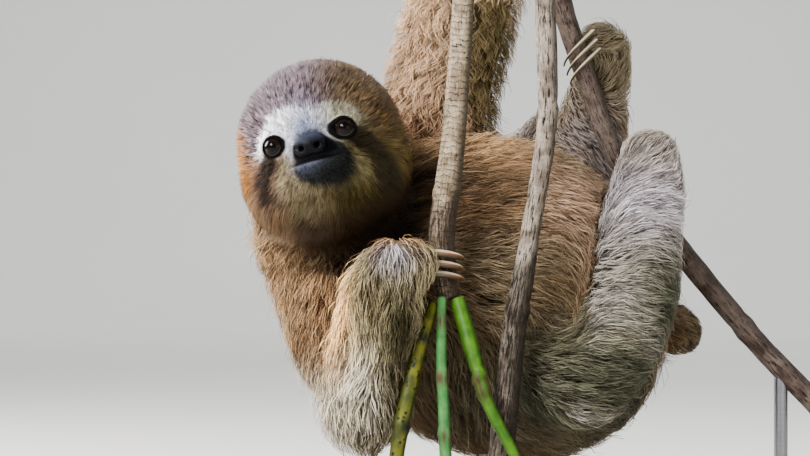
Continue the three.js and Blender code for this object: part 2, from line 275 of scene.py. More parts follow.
# Circles square to a line, each started from the direction across, so that it never twists.
# Round ends shrink to a pole. swell(angle, distance) scales the radius. Returns points and faces,
# and a coordinate that follows the tube: round it in x and y, along it in z.
def makeTube(line, across, sides, swell, endRings, endLength=1.0):
    centre, radius = line[:, :3], line[:, 3]
    tangent = unit(np.gradient(centre, axis=0))
    turn = (np.arange(1, endRings + 1) / (endRings + 0.35)) * math.pi / 2
    out, shrink = np.sin(turn)[:, None], np.cos(turn)
    first = centre[0] - tangent[0] * (out * radius[0] * endLength)
    last = centre[-1] + tangent[-1] * out * radius[-1] * endLength
    centre = np.vstack([first[::-1], centre, last])
    radius = np.concatenate([radius[0] * shrink[::-1], radius, radius[-1] * shrink])
    tangent = np.pad(tangent, ((endRings, endRings), (0, 0)), mode="edge")
    side = unit(across - np.sum(across * tangent, 1, keepdims=True) * tangent)
    other = np.cross(tangent, side)
    distance = distanceAlong(centre)
    a, s = np.meshgrid(fullTurn(sides), distance)
    r = radius[:, None] * swell(a, s)
    points = centre[:, None] + r[..., None] * onCircle(a, side[:, None], other[:, None])
    lay = np.stack([np.cos(a) * radius[:, None], np.sin(a) * radius[:, None], s], -1)
    rows = len(centre)
    points = np.vstack([points.reshape(-1, 3), centre[:1], centre[-1:]])
    lay = np.vstack([lay.reshape(-1, 3), [[0, 0, 0]], [[0, 0, distance[-1]]]])
    return points, [gridQuads(rows, sides), endFans(rows, sides)], lay


# A part is a smooth line of stations [x, y, z, radius to the coat's tips], the coat's depth at its
# two ends, and how widely it blends into the body so far.
body = {
    "trunk": {
        "line": [
            (-16, 13, 160, 62), (-8, 16, 152.5, 75), (18, 17, 144.5, 81.5), (33, 17, 133, 72),
            (38, 18, 128, 57),
        ],
        "coat": (10, 10), "blend": 1, "depth": 0.8,
    },
    "neck": {
        "line": [(-71, -26, 204, 36), (-65, -14, 186, 39), (-50, 4, 170, 44)], "coat": (9, 11), "blend": 14,
    },
    "upperArmRight": {
        "line": [(-67, -14, 161, 33), (-65, -26, 138, 28), (-54, -38, 112, 25.5), (-48, -44, 97, 22.5)],
        "coat": (10, 9), "blend": 12,
    },
    "forearmRight": {
        "line": [
            (-46, -53, 95, 22), (-48, -61, 117, 21), (-42, -68, 140, 22), (-40, -71, 150, 20.5),
            (-33, -71, 161, 17.5), (-26, -70, 163.5, 13.5),
        ],
        "coat": (9, 4), "blend": 5,
    },
    "upperArmLeft": {
        "line": [(-23, 24, 188, 34.5), (-16, 31, 222, 34.5), (-9, 32, 260, 34), (1.5, 30, 298, 32)],
        "coat": (11, 9), "blend": 14,
    },
    "forearmLeft": {
        "line": [
            (3, 29, 302, 30), (9, 16, 335, 25), (19, -4, 366, 19), (27, -21, 386, 15), (29, -29, 395, 11.5),
        ],
        "coat": (9, 3.5), "blend": 5,
    },
    "thighRight": {
        "line": [(38, -14, 125, 38), (48, -34, 110, 29), (54, -42, 105.5, 24)], "coat": (11, 9),
        "blend": 12,
    },
    "shinRight": {
        "line": [
            (55.5, -45, 105.5, 22), (70.5, -40, 123, 21.5), (80, -32, 145, 22.5), (83.5, -25, 168, 22),
            (90, -11, 197, 18.5), (92, -1, 215, 15.5),
        ],
        "coat": (7, 4), "blend": 5,
    },
    "thighLeft": {
        "line": [(55, 40, 142, 36), (48, 68, 186, 29), (45, 88, 216, 24)], "coat": (10, 8), "blend": 12,
    },
    "shinLeft": {
        "line": [
            (44, 92, 220, 23), (53, 72, 222, 20), (63.5, 53, 220, 21), (68.5, 42, 250, 18),
            (72, 35, 273, 14.5),
        ],
        "coat": (7, 4), "blend": 5,
    },
    "tail": {
        "line": [(76, 32, 137, 15), (98, 41, 131, 14), (109, 45, 128, 13.5), (112, 47, 126, 12.5)],
        "coat": (5, 3), "blend": 6,
    },
}

head = {
    "centre": (-70, -43, 217.1),
    "turn": 9,  # degrees, the face towards -X
    "lift": 8,  # degrees, the face upwards
    "tilt": 15,  # degrees, the +X side of the face upwards
    # Balls in the head's own frame: x to the left eye, y backwards, z up, the radius to the
    # coat's tips, and the coat's depth.
    "balls": [
        (0, 3, 5, 40.8, 4.8),
        (17, -3, -12, 25.5, 5),
        (-17, -3, -12, 25.5, 5),
        (0, -1, -18, 25, 6.5),
        (9, -11.5, 6, 24, 2.6),
        (-9, -11.5, 6, 24, 2.6),
        (0, -26.5, -8, 12.5, 0.9),
        (0, -20, -14, 13, 1.6),
    ],
    "blend": 8,
    "lip": [
        (-10.5, -32.4, -12.8, 2.6), (-5.5, -35.4, -13.8, 3.3), (0, -36.2, -14, 3.5), (5.5, -35.4, -13.8, 3.3),
        (10.5, -32.4, -12.8, 2.6),
    ],
    "lipBlend": 3.5,
    "mouth": [
        (-14, -31.5, -9.4, 0.5), (-9.5, -35.6, -11, 0.8), (-4, -37.9, -10.8, 0.95), (0, -38.4, -10.4, 0.95),
        (4, -37.9, -10.8, 0.95), (9.5, -35.6, -11, 0.8), (14, -31.5, -9.4, 0.5),
    ],
    "mouthBlend": 1.2,
    "reach": 68,  # half the box that the head is worked out in
    "neckBlend": 7,
}

eyes = {
    "place": (17.1, -30.9, 1.1),  # in the head's frame, for the left one
    "radius": 5.5,
    "cornea": 0.4,  # how far the front bulges
    "gaze": (0.2, -0.97, -0.04),
    "lidRadius": 6.3,
    "lidBlend": 4,
    "lidEdge": 0.4,  # how far the lids' edges are rounded
    "slack": 0.25,  # the gap round the eyeball
    "lidReach": 7,  # where the openings' angles become distances
    "ahead": 14,  # how far from its centre an opening is kept clear
    "opening": 53,  # degrees from the gaze to the lids
    "corner": 15,  # degrees more at the inner corner
    "cornerAngle": 166,  # degrees round the gaze, from the temple, where the inner corner is
}


def headAxes():
    turn, lift, tilt = (math.radians(head[k]) for k in ("turn", "lift", "tilt"))
    forward = (-math.sin(turn) * math.cos(lift), -math.cos(turn) * math.cos(lift), math.sin(lift))
    right = unit(np.cross((0, 0, 1), forward))
    up = np.cross(forward, right)
    tilted = right * math.cos(tilt) + up * math.sin(tilt)
    back = -np.array(forward)
    return np.array([tilted, back, np.cross(tilted, back)])


axesOfHead = headAxes()


def toHead(points):
    return (points - np.array(head["centre"])) @ axesOfHead.T


def fromHead(points):
    return np.array(head["centre"]) + np.asarray(points, float) @ axesOfHead


# The smaller of two distances, rounded off where they differ by less than width.
def smoothMin(a, b, width):
    h = np.maximum(width - np.abs(a - b), 0) / width
    return np.minimum(a, b) - h * h * width / 4


# The distance to a chain of round cones.
def chainDistance(where, chain):
    best = np.full(len(where), 1e3, np.float32)
    for start, end in zip(chain[:-1], chain[1:]):
        along = end[:3] - start[:3]
        away = where - start[:3]
        t = np.clip(away @ along / (along @ along), 0, 1)
        gap = length(away - t[:, None] * along) - start[3] - t * (end[3] - start[3])
        best = np.minimum(best, gap)
    return best


# The distance to balls that blend into each other. A ball is [x, y, z, radius].
def ballsDistance(where, balls, blend):
    gap = None
    for x, y, z, radius in balls:
        ball = length(where - np.array([x, y, z])) - radius
        gap = ball if gap is None else smoothMin(gap, ball, blend)
    return gap


# What is left of a shape when another is cut out of it, with the edge rounded by a width.
def cutOut(gap, hole, width):
    return -smoothMin(-gap, hole, width)


# A part's line at the skin: its radius less the coat's depth, which changes evenly along it.
def skinLine(part, step=7.0):
    line = smoothLine(part["line"], step)
    line[:, 3] -= np.linspace(*part["coat"], len(line))
    return line


# The distance to one part. The trunk is squeezed from front to back, about its own middle, and its
# distances are scaled by the mean of 1 and the squeeze.
def partDistance(where, name):
    part = body[name]
    line = skinLine(part)
    squeeze = part.get("depth", 1)
    middle = line[:, 1].mean()
    scale = np.array([1, 1 / squeeze, 1])
    shift = np.array([0, middle, 0])
    line[:, :3] = (line[:, :3] - shift) * scale + shift
    gap = chainDistance((where - shift) * scale + shift, line)
    return gap * (0.5 + 0.5 * squeeze)


# An eye's centre, and its directions: the gaze, towards the temple, and up. Side is 1 for the left.
def eyeFrame(side):
    x, y, z = eyes["place"]
    gaze = unit(np.array(eyes["gaze"], float) * (side, 1, 1))
    temple = unit(np.cross(gaze, (0, 0, 1)) * side * -1)
    temple = temple if temple[0] * side > 0 else -temple
    up = np.cross(temple, gaze) * side
    up = up if up[2] > 0 else -up
    return np.array([x * side, y, z]), gaze, temple, up


# From an eye to points of the head: the way, its length, and its angles off the gaze and round it.
def fromEye(q, side):
    centre, gaze, temple, up = eyeFrame(side)
    away = q - centre
    reach = length(away)
    off = np.arccos(np.clip(away @ gaze / np.maximum(reach, 1e-6), -1, 1))
    return away, reach, off, np.arctan2(away @ up, away @ temple)


# How far an angle round the eye is from the inner corner.
def fromCorner(around):
    return np.abs((around - math.radians(eyes["cornerAngle"]) + math.pi) % (2 * math.pi) - math.pi)


# How far the lids stand from the gaze, in radians, round the eye: a circle with an inner corner.
def lidAngle(around, side):
    slim = 1 - 0.05 * np.sin(around) ** 2
    sharp = eyes["corner"] * (1 if side > 0 else 0.45)
    return np.radians(eyes["opening"] * slim + sharp * np.exp(-fromCorner(around) / 0.3))


# The head in its own frame: blended balls, the lids' bulges with the eyes' openings cut from them,
# a lower lip and the line of the mouth.
def headDistance(q):
    balls = [(x, y, z, radius - coat) for x, y, z, radius, coat in head["balls"]]
    gap = ballsDistance(q, balls, head["blend"])
    gap = smoothMin(gap, chainDistance(q, smoothLine(head["lip"], 2)), head["lipBlend"])
    for side in (1, -1):
        _, reach, off, around = fromEye(q, side)
        gap = smoothMin(gap, reach - eyes["lidRadius"], eyes["lidBlend"])
        hole = (off - lidAngle(around, side)) * np.minimum(reach, eyes["lidReach"])
        hole = np.minimum(np.maximum(hole, reach - eyes["ahead"]), reach - eyes["radius"] - eyes["slack"])
        gap = cutOut(gap, hole, eyes["lidEdge"])
    return cutOut(gap, chainDistance(q, smoothLine(head["mouth"], 2)), head["mouthBlend"])


# Lines of a grid: (from, to, step) stretches, one after another.
def gridLine(*stretches):
    lines = [np.linspace(a, b, round((b - a) / step), endpoint=False) for a, b, step in stretches]
    return np.concatenate([*lines, [stretches[-1][1]]])


gridSteps = {"face": 0.7, "head": 1.5, "body": 3.6}


# The grid is finest round the face.
def bodyGrid():
    face, near, far = gridSteps["face"], gridSteps["head"], gridSteps["body"]
    return [
        gridLine((-130, -118, far), (-118, -102, near), (-102, -45, face), (-45, -28, near), (-28, 132, far)),
        gridLine((-106, -87, far), (-87, -63, face), (-63, 0, near), (0, 126, far)),
        gridLine((42, 166, far), (166, 186, near), (186, 243, face), (243, 264, near), (264, 420, far)),
    ]


# A signed distance on a grid.
class Field:
    def __init__(self, lines):
        self.lines = lines
        self.values = np.full([len(line) for line in lines], 40, np.float32)

    # Joins a shape to it, inside the box from low to high.
    def merge(self, low, high, distance, blend):
        spans = [slice(*np.searchsorted(line, pair)) for line, pair in zip(self.lines, zip(low, high))]
        axes = [line[span].astype(np.float32) for line, span in zip(self.lines, spans)]
        where = np.stack(np.meshgrid(*axes, indexing="ij"), -1).reshape(-1, 3)
        old = self.values[tuple(spans)]
        self.values[tuple(spans)] = smoothMin(old, distance(where).reshape(old.shape), blend)

    # The distance at any points, from the eight grid corners round each.
    def at(self, where):
        index, share = [], []
        for axis, line in enumerate(self.lines):
            i = np.clip(np.searchsorted(line, where[:, axis]) - 1, 0, len(line) - 2)
            index.append(i)
            share.append(np.clip((where[:, axis] - line[i]) / (line[i + 1] - line[i]), 0, 1))
        total = np.zeros(len(where))
        for corner in np.ndindex(2, 2, 2):
            weight = np.prod([s if c else 1 - s for c, s in zip(corner, share)], axis=0)
            total += weight * self.values[tuple(i + c for c, i in zip(corner, index))]
        return total

    # The outward direction, from the distance a little to each side.
    def outward(self, where, reach=1.2):
        steps = np.eye(3) * reach
        return unit(np.stack([self.at(where + s) - self.at(where - s) for s in steps], 1))

    # One point for each cell that the surface crosses, at the mean of the crossings on its edges,
    # and one quad for each grid edge that it crosses.
    def surface(self):
        inside = self.values < 0
        shape = [n - 1 for n in inside.shape]
        corners = np.array(list(np.ndindex(2, 2, 2)))
        count = np.zeros(shape, np.int8)
        for c in corners:
            count += inside[tuple(slice(o, o + n) for o, n in zip(c, shape))]
        cells = np.stack(np.nonzero((count > 0) & (count < 8)), 1)
        spots = [cells + c for c in corners]
        values = [self.values[tuple(s.T)] for s in spots]
        places = [np.stack([line[s[:, a]] for a, line in enumerate(self.lines)], 1) for s in spots]
        edges = [(a, b) for a in range(8) for b in range(a) if np.abs(corners[a] - corners[b]).sum() == 1]
        total, hits = np.zeros((len(cells), 3)), np.zeros(len(cells))
        for a, b in edges:
            crossed = (values[a] < 0) != (values[b] < 0)
            t = np.where(crossed, values[a] / np.where(crossed, values[a] - values[b], 1), 0)[:, None]
            total += crossed[:, None] * (places[a] * (1 - t) + places[b] * t)
            hits += crossed
        number = np.full(shape, -1, np.int32)
        number[tuple(cells.T)] = np.arange(len(cells))
        quads = []
        for axis in range(3):
            u, v = (axis + 1) % 3, (axis + 2) % 3
            here = [slice(1, -1)] * 3
            here[axis] = slice(0, -1)
            after = list(here)
            after[axis] = slice(1, None)
            a, b = inside[tuple(here)], inside[tuple(after)]
            for crossing, flip in ((a & ~b, False), (b & ~a, True)):
                cell = np.stack(np.nonzero(crossing), 1)
                around = []
                for du, dv in ((0, 0), (1, 0), (1, 1), (0, 1)):
                    near = cell.copy()
                    near[:, u] += du
                    near[:, v] += dv
                    around.append(number[tuple(near.T)])
                quads.append(np.stack(around[::-1] if flip else around, 1))
        return total / hits[:, None], np.vstack(quads)


def buildBody():
    field = Field(bodyGrid())
    margin = 26  # how far from a part's line its blend can still tell
    for name, part in body.items():
        line = skinLine(part)
        reach = line[:, 3:] + margin
        low, high = (line[:, :3] - reach).min(0), (line[:, :3] + reach).max(0)
        field.merge(low, high, lambda where, name=name: partDistance(where, name), part["blend"])
    centre, reach = np.array(head["centre"]), head["reach"]
    field.merge(centre - reach, centre + reach, lambda where: headDistance(toHead(where)), head["neckBlend"])
    return field


bodyField = buildBody()
skinPoints, skinQuads = bodyField.surface()
print("skin:", len(skinPoints), "points")

# The colours that the skin and the coat both take.
palette = {
    "gold": (208, 166, 120), "umber": (140, 108, 76), "shadow": (30, 20, 10), "pinkTan": (190, 158, 132),
    "oliveBrown": (126, 110, 84), "neckBrown": (104, 76, 50), "neckTan": (160, 128, 92),
    "orangeTan": (208, 148, 86), "armTan": (120, 106, 80), "cream": (196, 186, 164),
    "armCream": (186, 172, 132), "armGold": (250, 204, 140), "armOlive": (104, 90, 58),
    "armPaintedShade": (52, 48, 26), "armWhite": (232, 224, 208), "farOlive": (130, 117, 92),
    "legOlive": (86, 86, 68), "legGrey": (158, 152, 136), "lilac": (196, 188, 194),
    "greyOlive": (81, 82, 65), "footOlive": (92, 80, 54), "woolTan": (216, 182, 146),
    "woolPink": (152, 118, 90), "crown": (116, 101, 110), "crownLeft": (104, 84, 60),
    "rimRight": (150, 98, 34), "rimLeft": (83, 63, 34), "nape": (140, 110, 78), "napeHigh": (122, 102, 88),
    "brow": (250, 250, 252), "browOlive": (164, 158, 136), "cheek": (160, 146, 116),
    "cheekOlive": (103, 93, 60), "throat": (58, 48, 6), "stripeSoft": (118, 88, 74), "stripe": (34, 22, 14),
    "stripeDark": (40, 32, 14), "slate": (26, 29, 30), "slateBlue": (66, 69, 84), "lip": (104, 108, 126),
    "lipWhite": (200, 198, 212), "rimLow": (90, 74, 36), "neckDark": (50, 34, 16), "tail": (72, 50, 14),
    "legFar": (132, 112, 88), "bridge": (112, 120, 158), "black": (3, 3, 4),
}
palette = {name: colour(*shade) for name, shade in palette.items()}


# How far points are from a bent line, in two of their coordinates.
def bandDistance(flat, line):
    line = np.array(line, float)
    gaps = []
    for a, b in zip(line[:-1], line[1:]):
        t = np.clip((flat - a) @ (b - a) / ((b - a) @ (b - a)), 0, 1)
        gaps.append(length(flat - a - t[:, None] * (b - a)))
    return np.min(gaps, axis=0)


# From the first colours to the second, by a share for each point.
def blended(first, second, share):
    return first + (second - first) * share[:, None]


# Layers laid one over the other, each a palette colour and its mask.
def paint(shade, *layers):
    for name, mask in layers:
        shade = blended(shade, palette[name], np.clip(mask, 0, 1))
    return shade


# A soft spot: 1 at its centre, and falling off over its three sizes.
def spot(where, centre, size):
    return np.exp(-np.sum(((where - np.array(centre)) / np.array(size)) ** 2, axis=1))


# How far points are inside a closed outline, in two of their coordinates, and below 0 outside it.
def insideOutline(flat, outline):
    outline = np.array(outline, float)
    inside = np.zeros(len(flat), bool)
    for a, b in zip(outline, np.roll(outline, -1, 0)):
        straddles = (a[1] > flat[:, 1]) != (b[1] > flat[:, 1])
        rise = b[1] - a[1] if b[1] != a[1] else 1e-9
        inside ^= straddles & (flat[:, 0] < a[0] + (flat[:, 1] - a[1]) * (b[0] - a[0]) / rise)
    return bandDistance(flat, [*outline, outline[0]]) * np.where(inside, 1, -1)


# The face's marks as seen from in front, in the head's frame: x to the left eye, and z up.
faceMarks = {
    "pale": [
        (-28.8, -4), (-28.6, -1), (-26.8, 4), (-24, 8.6), (-20.5, 12.6), (-17, 16), (-13, 18), (-6.7, 18.6),
        (0.5, 17.4), (5.3, 16), (9.5, 16.8), (15.6, 16), (21.4, 14), (25.6, 10), (28, 5), (29, 0), (31, -8),
        (34, -16), (34, -22), (30, -29), (14, -34), (0, -36), (-14, -33), (-26, -27), (-30.5, -18),
        (-30.5, -10),
    ],
    "muzzle": [
        (-9.6, -9), (-10.6, -12.9), (-8.9, -18.3), (-4.4, -21.6), (2.6, -23.8), (9.4, -24), (14.4, -21.6),
        (17.6, -17.5), (19, -11), (16, -6), (12, -3.5), (8, -1), (4, 1.5), (-4, 0.5), (-8.5, -3),
    ],
    "black": [
        (-8.4, -1.8), (-8.8, -7), (-6.5, -9.8), (8, -9.6), (12.5, -7.5), (11, -3), (6.6, 1.6), (0, 1),
    ],
    "stripeRight": [(-21.6, -4), (-26.4, -9), (-28.4, -14.2), (-28, -19.5), (-25.4, -24.5)],
    "stripeLeft": [(22, -2.6), (24.6, -5.6), (28, -10.5), (30, -16.6), (30.8, -23), (30, -28)],
}


# The head's colours: a lilac-grey crown, browner behind and at the left, over sides that are rusty on
# the right and dark on the left, partly painted shade, and dark under the chin, partly painted shade.
# The pale outline holds the face, with a white brow, a dark throat and a left cheek darker than the
# right, partly painted shade. Over both come stripes from the eyes down, a bluish bridge, a dark
# muzzle and the lips, with a painted highlight along the lower lip.
def headColours(q):
    x, y, z = q.T
    flat = q[:, [0, 2]]
    rough = noise(q / 2.4, 11) * 0.9
    left = ease(-4, 13, x)
    brow = ease(-7, 3, z + rough)
    face = paint(
        np.repeat(palette["cheek"][None], len(q), 0),
        # On the left the cheek is olive and darker, partly painted shade where the light falls away.
        ("cheekOlive", left),
        ("throat", ease(-17, -27, z + rough + 3 * left) * (0.65 + 0.35 * left)),
        ("brow", brow),
        ("browOlive", brow * ease(0, 15, x + 3 * rough)),
        # This spot darkens the left cheek further, partly as painted shade.
        ("cheekOlive", spot(q, (28, -22, 0), (6, 12, 6)) * 1.3),
    )
    # The left side's dark rim colours are partly painted shade.
    dim = blended(palette["rimLeft"], palette["rimLow"], ease(6, -8, z + rough))
    gold = blended(palette["rimRight"], palette["neckTan"], ease(-10, -20, z + rough))
    sides = np.where(x[:, None] < 0, gold, dim)
    hood = blended(palette["crown"], palette["crownLeft"], ease(-2, 24, x))
    down = ease(9, -5, z - 0.25 * (y + 10)) * np.where(x < 0, ease(22, 30, -x), 1)
    edge = ease(29, 37, np.abs(x)) * ease(24, 12, z)
    down = np.maximum(np.maximum(down, edge), ease(-14, -24, z))
    hood = paint(
        blended(hood, sides, down),
        ("nape", ease(-5, 9, y) * ease(34, 4, z) * 0.95),
        ("napeHigh", ease(-2, 14, y) * ease(8, 26, z) * 0.85),
        # Under the head the coat turns dark brown, partly painted shade beneath the chin.
        ("neckDark", ease(-20, -30, z) * (1 - 0.6 * ease(-14, -26, x))),
    )
    front = ease(-10, -16, y)
    pale = ease(-1.2, 1.8, insideOutline(flat, faceMarks["pale"]) + rough) * front
    right = bandDistance(flat, faceMarks["stripeRight"]) + rough
    other = bandDistance(flat, faceMarks["stripeLeft"]) + rough
    muzzle = ease(-1.6, 1.6, insideOutline(flat, faceMarks["muzzle"]) + rough) * ease(-18, -24, y)
    return paint(
        blended(hood, face, pale),
        ("stripeSoft", ease(9, 4.2, right) * front * ease(-31, -22, z) * ease(0, -6, z) * 0.8),
        ("stripe", ease(5.4, 2.4, right) * front * ease(-29, -21, z) * 0.95),
        ("stripeDark", ease(6.6, 3.6, other) * front),
        ("bridge", spot(q, (-0.5, -38, 6.5), (9.5, 12, 11)) * 0.95),
        ("slateBlue", spot(q, (0.5, -38, 1.6), (8, 12, 3.4)) * 1.3),
        ("lipWhite", spot(q, (-10.6, -36, -2.5), (2.4, 9, 6.5)) * 0.9),
        ("slate", muzzle),
        ("slateBlue", spot(q, (-4.5, -34, -14.5), (7, 12, 3.8)) * 0.9),
        # The lip patch is a painted highlight along the lower lip, under the mouth.
        ("lip", spot(q, (-4, -36, -12.6), (7.5, 10, 1.1)) * 0.7),
    )


# Where the head is bare skin: round the nose, along the lips and at the eyes, with more of it at
# the left eye's inner corner.
def headBare(q):
    bare = ease(-1.2, 1, insideOutline(q[:, [0, 2]], faceMarks["black"])) * ease(-26, -31, q[:, 1])
    bare = np.maximum(bare, spot(q, (1, -37, -10.4), (12, 9, 1.3)) * 1.3)
    for side, rim, wider in ((1, 0.18, 0.24), (-1, 0.13, -0.05)):
        _, reach, off, around = fromEye(q, side)
        wider = wider * np.exp(-fromCorner(around) / 0.2)
        ring = ease(rim + 0.12 + wider, rim + wider, off - lidAngle(around, side))
        bare = np.maximum(bare, ring * ease(10, 8, reach))
    return np.clip(bare, 0, 1)


# The body's colours by part, with broad patches that change across it.
bodyTint = {
    # The neck's dark brown is partly painted shade under the head.
    "trunk": ("oliveBrown", "umber"), "neck": ("neckDark", "neckBrown"),
    "upperArmRight": ("neckTan", "neckBrown"), "forearmRight": ("armTan", "armCream"),
    "upperArmLeft": ("woolTan", "woolPink"), "forearmLeft": ("woolTan", "woolPink"),
    "thighRight": ("greyOlive", "oliveBrown"), "shinRight": ("cream", "lilac"),
    "thighLeft": ("legFar", "lilac"), "shinLeft": ("legFar", "lilac"), "tail": ("tail", "oliveBrown"),
}
# Further patches, by part: the centre and sizes (mm) of a soft spot, its colour and its strength.
bodyPatches = {
    "trunk": [
        # The shadow patch beside the head is painted shade.
        ((20, -40, 224), (60, 80, 17), "gold", 1.2), ((-12, -40, 196), (20, 70, 26), "shadow", 1.3),
        ((56, -30, 196), (20, 60, 24), "pinkTan", 1.2), ((8, -50, 190), (26, 60, 14), "umber", 0.7),
        # The greyOlive patches low on the trunk are partly its olive-grey coat and partly painted shade,
        # darker towards the bottom.
        ((52, -40, 104), (34, 60, 32), "greyOlive", 0.8), ((4, -40, 90), (40, 60, 30), "greyOlive", 0.7),
        ((72, -10, 96), (26, 50, 26), "greyOlive", 1.1), ((0, 80, 190), (60, 60, 50), "umber", 0.5),
        ((30, 80, 110), (60, 60, 50), "oliveBrown", 0.8), ((64, -20, 216), (24, 60, 12), "legFar", 1.6),
    ],
    "neck": [
        # The shadow patch on the neck is painted shade under the head.
        ((-34, -30, 188), (24, 60, 24), "shadow", 1.7), ((-98, -20, 165), (17, 50, 60), "neckTan", 1.3),
    ],
    "upperArmRight": [
        # The shadow patch is painted shade between the arm and the chest.
        ((-36, -40, 150), (16, 60, 30), "shadow", 1.0), ((-88, -30, 150), (16, 60, 40), "neckTan", 0.9),
        ((-62, -50, 96), (20, 50, 14), "cream", 1.4),
    ],
    "forearmRight": [
        # The lilac patch at the top of the wrist is pale fur, partly a painted highlight.
        ((-43, -80, 177), (20, 30, 6), "orangeTan", 1.3), ((-36, -90, 166), (9, 30, 7), "lilac", 1.2),
        ((-50, -80, 128), (13, 30, 22), "armCream", 1.1), ((-55, -80, 102), (11, 30, 20), "armWhite", 1.2),
        # The armGold patch is the forearm's orange fringe, and partly painted light on its lit left edge.
        ((-63, -60, 142), (8, 40, 26), "armGold", 1.6), ((-46, -85, 145), (8, 30, 16), "footOlive", 0.9),
        # These two dark olive patches are painted shade along the forearm's side away from the light.
        ((-32, -85, 134), (9, 40, 22), "armPaintedShade", 1.05), ((-34, -80, 98), (7, 30, 22), "armPaintedShade", 0.9),
        ((-60, -55, 90), (16, 50, 12), "cream", 1.4),
    ],
    "upperArmLeft": [
        ((14, 10, 256), (17, 60, 60), "armOlive", 1.5), ((-20, 10, 215), (24, 60, 26), "woolPink", 1.5),
    ],
    "shinRight": [
        ((88, -40, 162), (30, 50, 24), "legGrey", 1.1), ((88, -30, 196), (34, 50, 22), "lilac", 1.2),
        # The legOlive patch low on the shin is partly olive coat and partly painted shade low down.
        ((66, -50, 108), (40, 50, 24), "legOlive", 1.3), ((101, -30, 141), (17, 50, 26), "greyOlive", 1.4),
        ((95, -20, 217), (22, 40, 14), "armTan", 0.5),
    ],
    # This legOlive patch is partly olive coat and partly painted shade low down.
    "thighRight": [((50, -50, 100), (40, 50, 30), "legOlive", 1.0)],
    "shinLeft": [
        ((74, 36, 268), (22, 40, 26), "farOlive", 1.5), ((50, 60, 216), (22, 40, 12), "legFar", 0.9),
    ],
}
partNames = [*body, "head"]


# The part that each point belongs to: the nearest one, with the head taken a millimetre wider.
def nearestPart(where):
    gaps = [partDistance(where, name) for name in body]
    gaps.append(headDistance(toHead(where)) - 1)
    return np.argmin(gaps, axis=0)


def bodyColours(where, part):
    patch = ease(-0.3, 0.5, noise(where / 24, 3))
    shade = np.zeros((len(where), 3))
    for number, name in enumerate(body):
        mine = part == number
        first, second = (palette[key] for key in bodyTint[name])
        shade[mine] = blended(first, second, 0.5 * patch[mine])
        for centre, size, tint, strength in bodyPatches.get(name, ()):
            shade = paint(shade, (tint, spot(where, centre, size) * strength * mine))
    return shade


def markings(where, part):
    shade = bodyColours(where, part)
    mine = part == partNames.index("head")
    shade[mine] = headColours(toHead(where[mine]))
    return shade


# The lids: a rounded black rim round each opening, and a wet pale rim inside its lower half.
def lidRims():
    sides, steps = 10, 96
    angle, around = fullTurn(sides), fullTurn(steps)
    made = []
    for side in (1, -1):
        centre, gaze, temple, up = eyeFrame(side)
        low = ease(0.1, -0.8, np.sin(around))
        for wet in (False, True):
            off = lidAngle(around, side) + (-0.06 if wet else 0.05) - 0.05 * low * wet
            reach = eyes["radius"] + np.where(wet, 0.3 * low - 0.2, 0.32)
            size = np.where(wet, 0.1 + 0.22 * low, 0.6 + 0.1 * low)
            line = centre + reach[:, None] * onCircle(off, gaze, onCircle(around, temple, up))
            tangent = unit(np.roll(line, -1, 0) - np.roll(line, 1, 0))
            out = unit(line - centre)
            bulge = onCircle(angle[None], out[:, None], np.cross(tangent, out)[:, None])
            points = (line[:, None] + size[:, None, None] * bulge).reshape(-1, 3)
            quads = gridQuads(steps + 1, sides) % len(points)
            made.append((fromHead(points), quads, wet))
    return made


def makeSkinMaterial(start):
    marking = attribute(start, "marking", 0)
    bare = attribute(start, "bare", 2)
    wet = attribute(start, "wet", 2)
    place = objectPlace(start)
    fine = place.texture("Noise", 1400, Detail=3)
    pebble = place.texture("Voronoi", 1900)
    leather = bare.mixed(marking.scaled(0.75 + 0.5 * fine), palette["black"])
    shade = wet.mixed(leather, colour(42, 36, 33))
    rough = 0.8 - 0.3 * bare - 0.25 * wet
    normal = bump(start, fine * 0.5 + pebble * bare, 0.5, 0.0004)
    return {"Base Color": shade, "Roughness": rough, "Specular IOR Level": 0.03, "Normal": normal}


# The skin takes its markings darker, as it shows between the locks, where it is shaded.
skinShade = {"head": 0.8, "body": 0.4}


def makeSkin():
    part = nearestPart(skinPoints)
    onHead = part == partNames.index("head")
    marking = markings(skinPoints, part) * np.where(onHead, skinShade["head"], skinShade["body"])[:, None]
    bare = np.zeros(len(skinPoints))
    bare[onHead] = headBare(toHead(skinPoints[onHead]))
    points, quads, wet = [skinPoints], [skinQuads], [np.zeros(len(skinPoints))]
    for rim, faces, isWet in lidRims():
        quads.append(faces + sum(len(p) for p in points))
        points.append(rim)
        wet.append(np.full(len(rim), float(isWet)))
    extra = sum(len(p) for p in points[1:])
    marking = np.vstack([marking, np.repeat(palette["black"][None], extra, 0)])
    bare = np.concatenate([bare, np.ones(extra)])
    attributes = {"marking": marking, "bare": bare, "wet": np.concatenate(wet)}
    skin = makeObject("skin", np.vstack(points), [np.vstack(quads)], attributes)
    nodes = ["head", "neck", "trunk", "tail"]
    for limb in ("upper_arm", "forearm", "hand", "thigh", "shin", "foot"):
        nodes += [f"{limb}_left", f"{limb}_right"]
    finishPiece(skin, makeMaterial("skin", makeSkinMaterial), nodes)
    return part


skinPart = makeSkin()
print("skin finished")


# An eyeball: a sphere whose front bulges a little, with its pole on the gaze. The iris is nearly
# as dark as the pupil.
def makeEyeMaterial(start):
    off = attribute(start, "off", 2)
    fibre = objectPlace(start).texture("Noise", 900, Detail=2)
    iris = off.between(0.34, 0.5) * (1 - off.between(0.78, 0.95))
    brown = (iris * (0.3 + 0.7 * fibre)).mixed(colour(5, 4, 4), colour(24, 15, 11))
    return {"Base Color": brown, "Roughness": 0.05, "Specular IOR Level": 0.1}


